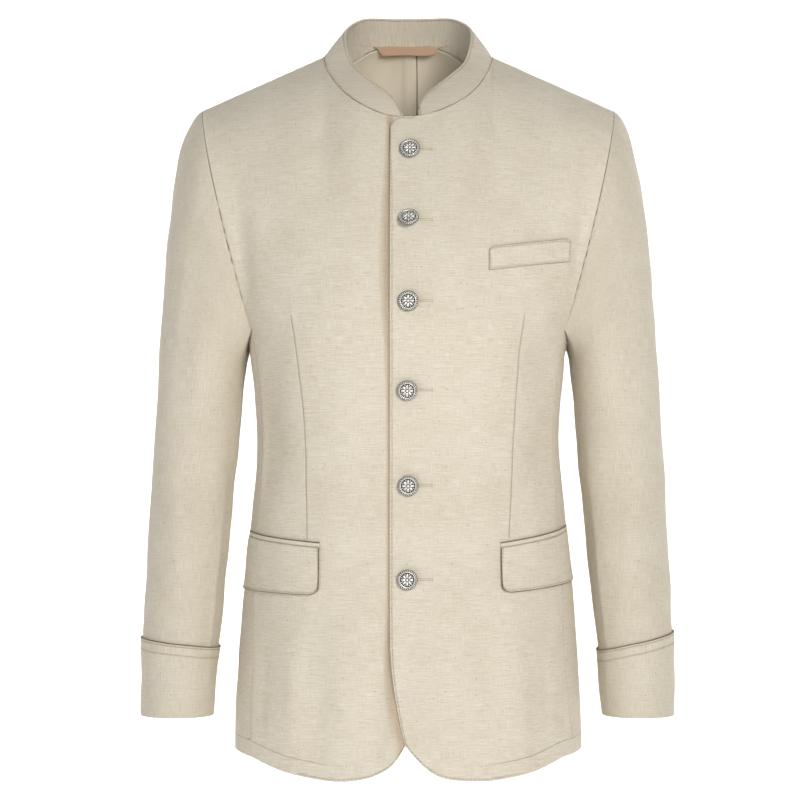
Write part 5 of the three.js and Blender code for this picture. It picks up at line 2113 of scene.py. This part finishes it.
@dataclass
class Buttons(Jacket):
    """Cast shank buttons with a beaded rim and a plain rosette, and the worked buttonholes."""

    body: Optional[Body] = None
    beads: int = 28
    petals: int = 8

    def ball(
        self,
        pieces: MeshPieces,
        centre: Sequence[float],
        size: Sequence[float],
        turn: float = 0.0,
        value: float = 0.1,
    ) -> None:
        """Adds an ellipsoid.

        Args:
            pieces: Where it is added.
            centre: Its centre.
            size: Its half axes.
            turn: Turn of its long axis about the button's axis.
            value: How dark its foot is, tarnish and painted shade.
        """
        rings, segments = 6, 10
        points, faces = [], []
        for i in range(rings + 1):
            polar = math.pi * i / rings
            for k in range(segments):
                around = 2 * math.pi * k / segments
                x, y = math.sin(polar) * math.cos(around), math.sin(polar) * math.sin(around)
                points.append((x, y, math.cos(polar)))
                if i < rings:
                    a, b = i * segments + k, i * segments + (k + 1) % segments
                    faces.append([a, a + segments, b + segments, b])
        shape = np.array(points) * np.asarray(size)
        cosine, sine = math.cos(turn), math.sin(turn)
        turned = shape @ np.array([[cosine, sine, 0], [-sine, cosine, 0], [0, 0, 1]])
        height = np.array(points)[:, 2]
        # Darker towards the foot: tarnish in the crevice and painted shade.
        values = np.clip(value + 0.75 * (0.55 - height), 0, 1)
        pieces.add(turned + np.asarray(centre), faces, values)

    def lathe(
        self, pieces: MeshPieces, profile: Sequence[tuple[float, float, float]]
    ) -> None:
        """Adds a turned body.

        Args:
            pieces: Where it is added.
            profile: (radius, height, darkness of tarnish and painted shade) rows.
        """
        segments = 64
        turns = np.linspace(0, 2 * np.pi, segments, endpoint=False)
        rows = [
            np.stack([reach * np.cos(turns), reach * np.sin(turns), np.full(segments, height)], -1)
            for reach, height, _ in profile
        ]
        index = np.arange(len(rows) * segments).reshape(len(rows), segments)
        wrapped = np.concatenate([index, index[:, :1]], 1)
        values = np.repeat([value for _, _, value in profile], segments)
        pieces.add(np.concatenate(rows), quads(wrapped).reshape(-1, 4).tolist(), values)

    def button(self, number: int, z: float, x: float, tilt: float) -> None:
        """Builds one button on the left front.

        Args:
            number: Its number from the top.
            z: Height of its centre.
            x: Its x.
            tilt: Tilt in degrees, negative where it faces up.
        """
        point, normal = self.body.fronts["left"].seat(x, z)
        angle = math.radians(tilt)
        cosine, sine = math.cos(angle), math.sin(angle)
        turn = np.array([[1, 0, 0], [0, cosine, -sine], [0, sine, cosine]])
        facing = turn @ normal
        clear = max(0.0, BUTTON_RADIUS * math.sin(abs(angle)) - 2.2)
        pieces = MeshPieces()
        self.lathe(pieces, ((0.01, -clear - 0.2, 1), (2.4, -clear, 1), *BUTTON_PROFILE))
        for k in range(self.beads):
            turned = 2 * math.pi * k / self.beads
            centre = (9.25 * math.cos(turned), 9.25 * math.sin(turned), 4.15)
            self.ball(pieces, centre, (0.9, 0.6, 0.62), turned + 0.7, -0.1)
        for k in range(self.petals):
            turned = 2 * math.pi * k / self.petals + math.pi / 2
            for reach, size, shift, value in PETALS:
                at = turned + shift * 2 * math.pi / self.petals
                centre = (reach * math.cos(at), reach * math.sin(at), 4.5)
                self.ball(pieces, centre, size, at, value)
        self.ball(pieces, (0, 0, 4.9), (1.5, 1.5, 1.0))
        side = unit(np.cross(np.array([0.0, 0.0, 1.0]), facing))
        up = np.cross(facing, side)
        shank = 2.4 * math.sin(abs(angle)) + LAY_GAP + clear
        pieces.vertices = [
            part @ np.stack([side, up, facing]) + point + normal * shank for part in pieces.vertices
        ]
        made = pieces.build(f"button_{number}_silver", "tarnish_and_shade", self.finishes.pewter)
        self.extra(made, "button", [f"button_{number}"])

    def buttonhole(self, number: int, z: float) -> None:
        """Builds the worked edge of one keyhole buttonhole.

        Args:
            number: Its number from the top.
            z: Its height.
        """
        turns = np.linspace(-2.3, 2.3, 13)
        eye = [(9.0 - 1.9 * math.cos(t), z + 1.9 * math.sin(t)) for t in turns]
        path = [(24.5, z - 0.85), (11.0, z - 0.85), *eye, (11.0, z + 0.85), (24.5, z + 0.85)]
        pieces = MeshPieces()
        front = self.body.fronts["left"]
        points = []
        for (x0, z0), (x1, z1) in zip(path[:-1], path[1:]):
            steps = max(1, int(math.hypot(x1 - x0, z1 - z0) / 0.9))
            points += [(mix(x0, x1, i / steps), mix(z0, z1, i / steps)) for i in range(steps)]
        spots = [front.seat(x, at) for x, at in points]
        line = np.array([point + normal * 0.12 for point, normal in spots])
        radii = [0.42 + 0.07 * math.sin(i * 2.1) for i in range(len(line))]
        tube(pieces, line, radii, 7)
        bar = [front.seat(24.6, z + 2.1 * t) for t in np.linspace(-1, 1, 7)]
        tube(pieces, np.array([point + normal * 0.1 for point, normal in bar]), [0.42] * 7, 7)
        self.extra(pieces.build(f"buttonhole_{number}", "tarnish_and_shade", self.finishes.hole), "linen")

    def build(self) -> None:
        """Builds buttons and buttonholes."""
        for number, (z, x, tilt) in enumerate(BUTTONS, 1):
            self.button(number, z, x, tilt)
            self.buttonhole(number, z)


# ---- Studio
@dataclass
class Studio:
    """Pale sweep, soft lights and the camera."""

    floor_z: float = -1.25
    wall_y: float = 5.6
    reach: float = 8.0
    bend: float = 1.3

    def sweep(self) -> None:
        """Builds floor and backdrop in one curved sheet."""
        turns = np.linspace(0, math.pi / 2, 17)
        y, z = self.wall_y - self.bend, self.floor_z + self.bend
        curve = [(y + self.bend * math.sin(t), z - self.bend * math.cos(t)) for t in turns]
        profile = [(-self.reach, self.floor_z), *curve, (self.wall_y, 4.0)]
        points = np.array([(x, y, z) for y, z in profile for x in (-self.reach, self.reach)]) * 1000
        faces = [(2 * i, 2 * i + 1, 2 * i + 3, 2 * i + 2) for i in range(len(profile) - 1)]
        paper = Matt("studio_paper", "#F6F5F3", "#FBFAF8", 2.0).build()
        make_object("studio_sweep", points, faces, points[:, :2] / 10, {}, paper)

    def light(
        self, name: str, place: tuple, target: tuple, size: float, power: float, colour: str
    ) -> None:
        """Adds one soft light aimed at a target.

        Args:
            name: Its name.
            place: Where it is, in metres.
            target: Where it aims.
            size: Its width.
            power: Its power in watts.
            colour: Its sRGB colour.
        """
        data = bpy.data.lights.new(name, "AREA")
        data.shape, data.size, data.energy = "DISK", size, power
        data.color = linear(colour)[:3]
        lamp = bpy.data.objects.new(name, data)
        lamp.location = place
        lamp.rotation_euler = (Vector(target) - Vector(place)).to_track_quat("-Z", "Y").to_euler()
        bpy.context.scene.collection.objects.link(lamp)

    def camera(self) -> None:
        """Adds the camera, level and square to the fronts."""
        data = bpy.data.cameras.new("camera")
        data.sensor_width = 36.0
        data.lens = 36.0 * -CAMERA[1] / VIEW_WIDTH
        data.clip_end = 30.0
        data.dof.use_dof = False
        holder = bpy.data.objects.new("camera", data)
        holder.location = [c / 1000 for c in CAMERA]
        holder.rotation_euler = (math.pi / 2, 0, 0)
        bpy.context.scene.collection.objects.link(holder)
        bpy.context.scene.camera = holder

    def build(self) -> None:
        """Builds the studio."""
        scene = bpy.context.scene
        scene.view_settings.view_transform = "Standard"
        self.camera()
        self.sweep()
        chest = (0.0, 0.0, -0.35)
        self.light("key", (1.25, -3.2, 0.7), chest, 1.2, 60, "#FFFDFB")
        self.light("fill", (-2.5, -2.2, -1.0), (-0.15, 0.0, -0.55), 1.6, 23, "#FBFCFF")
        self.light("front", (0.1, -4.2, 0.2), chest, 2.0, 30, "#FFFFFF")
        for name, side in (("left", -1), ("right", 1)):
            self.light(f"rear_{name}", (3.2 * side, 1.8, 0.2), chest, 2.0, 22, "#FFFFFF")
            wall = (1.0 * side, 5.6, -0.8)
            self.light(f"wall_{name}", (2.7 * side, 3.9, 2.9), wall, 2.0, 180, "#FFFFFF")
        world = bpy.data.worlds.new("studio")
        scene.world = world
        world.use_nodes = True
        background = world.node_tree.nodes["Background"]
        background.inputs["Color"].default_value = (1.0, 1.0, 1.0, 1.0)
        background.inputs["Strength"].default_value = 0.185


def main() -> None:
    """Builds the whole scene."""
    logging.basicConfig(level=logging.INFO, format="%(message)s")
    finishes = Finishes.make()
    Studio().build()
    body = Body(finishes).build()
    Sleeves(finishes).build()
    Collar(finishes, body).build()
    Pockets(finishes, body).build()
    NeckInside(finishes).build()
    Buttons(finishes, body).build()


if __name__ == "__main__":
    main()
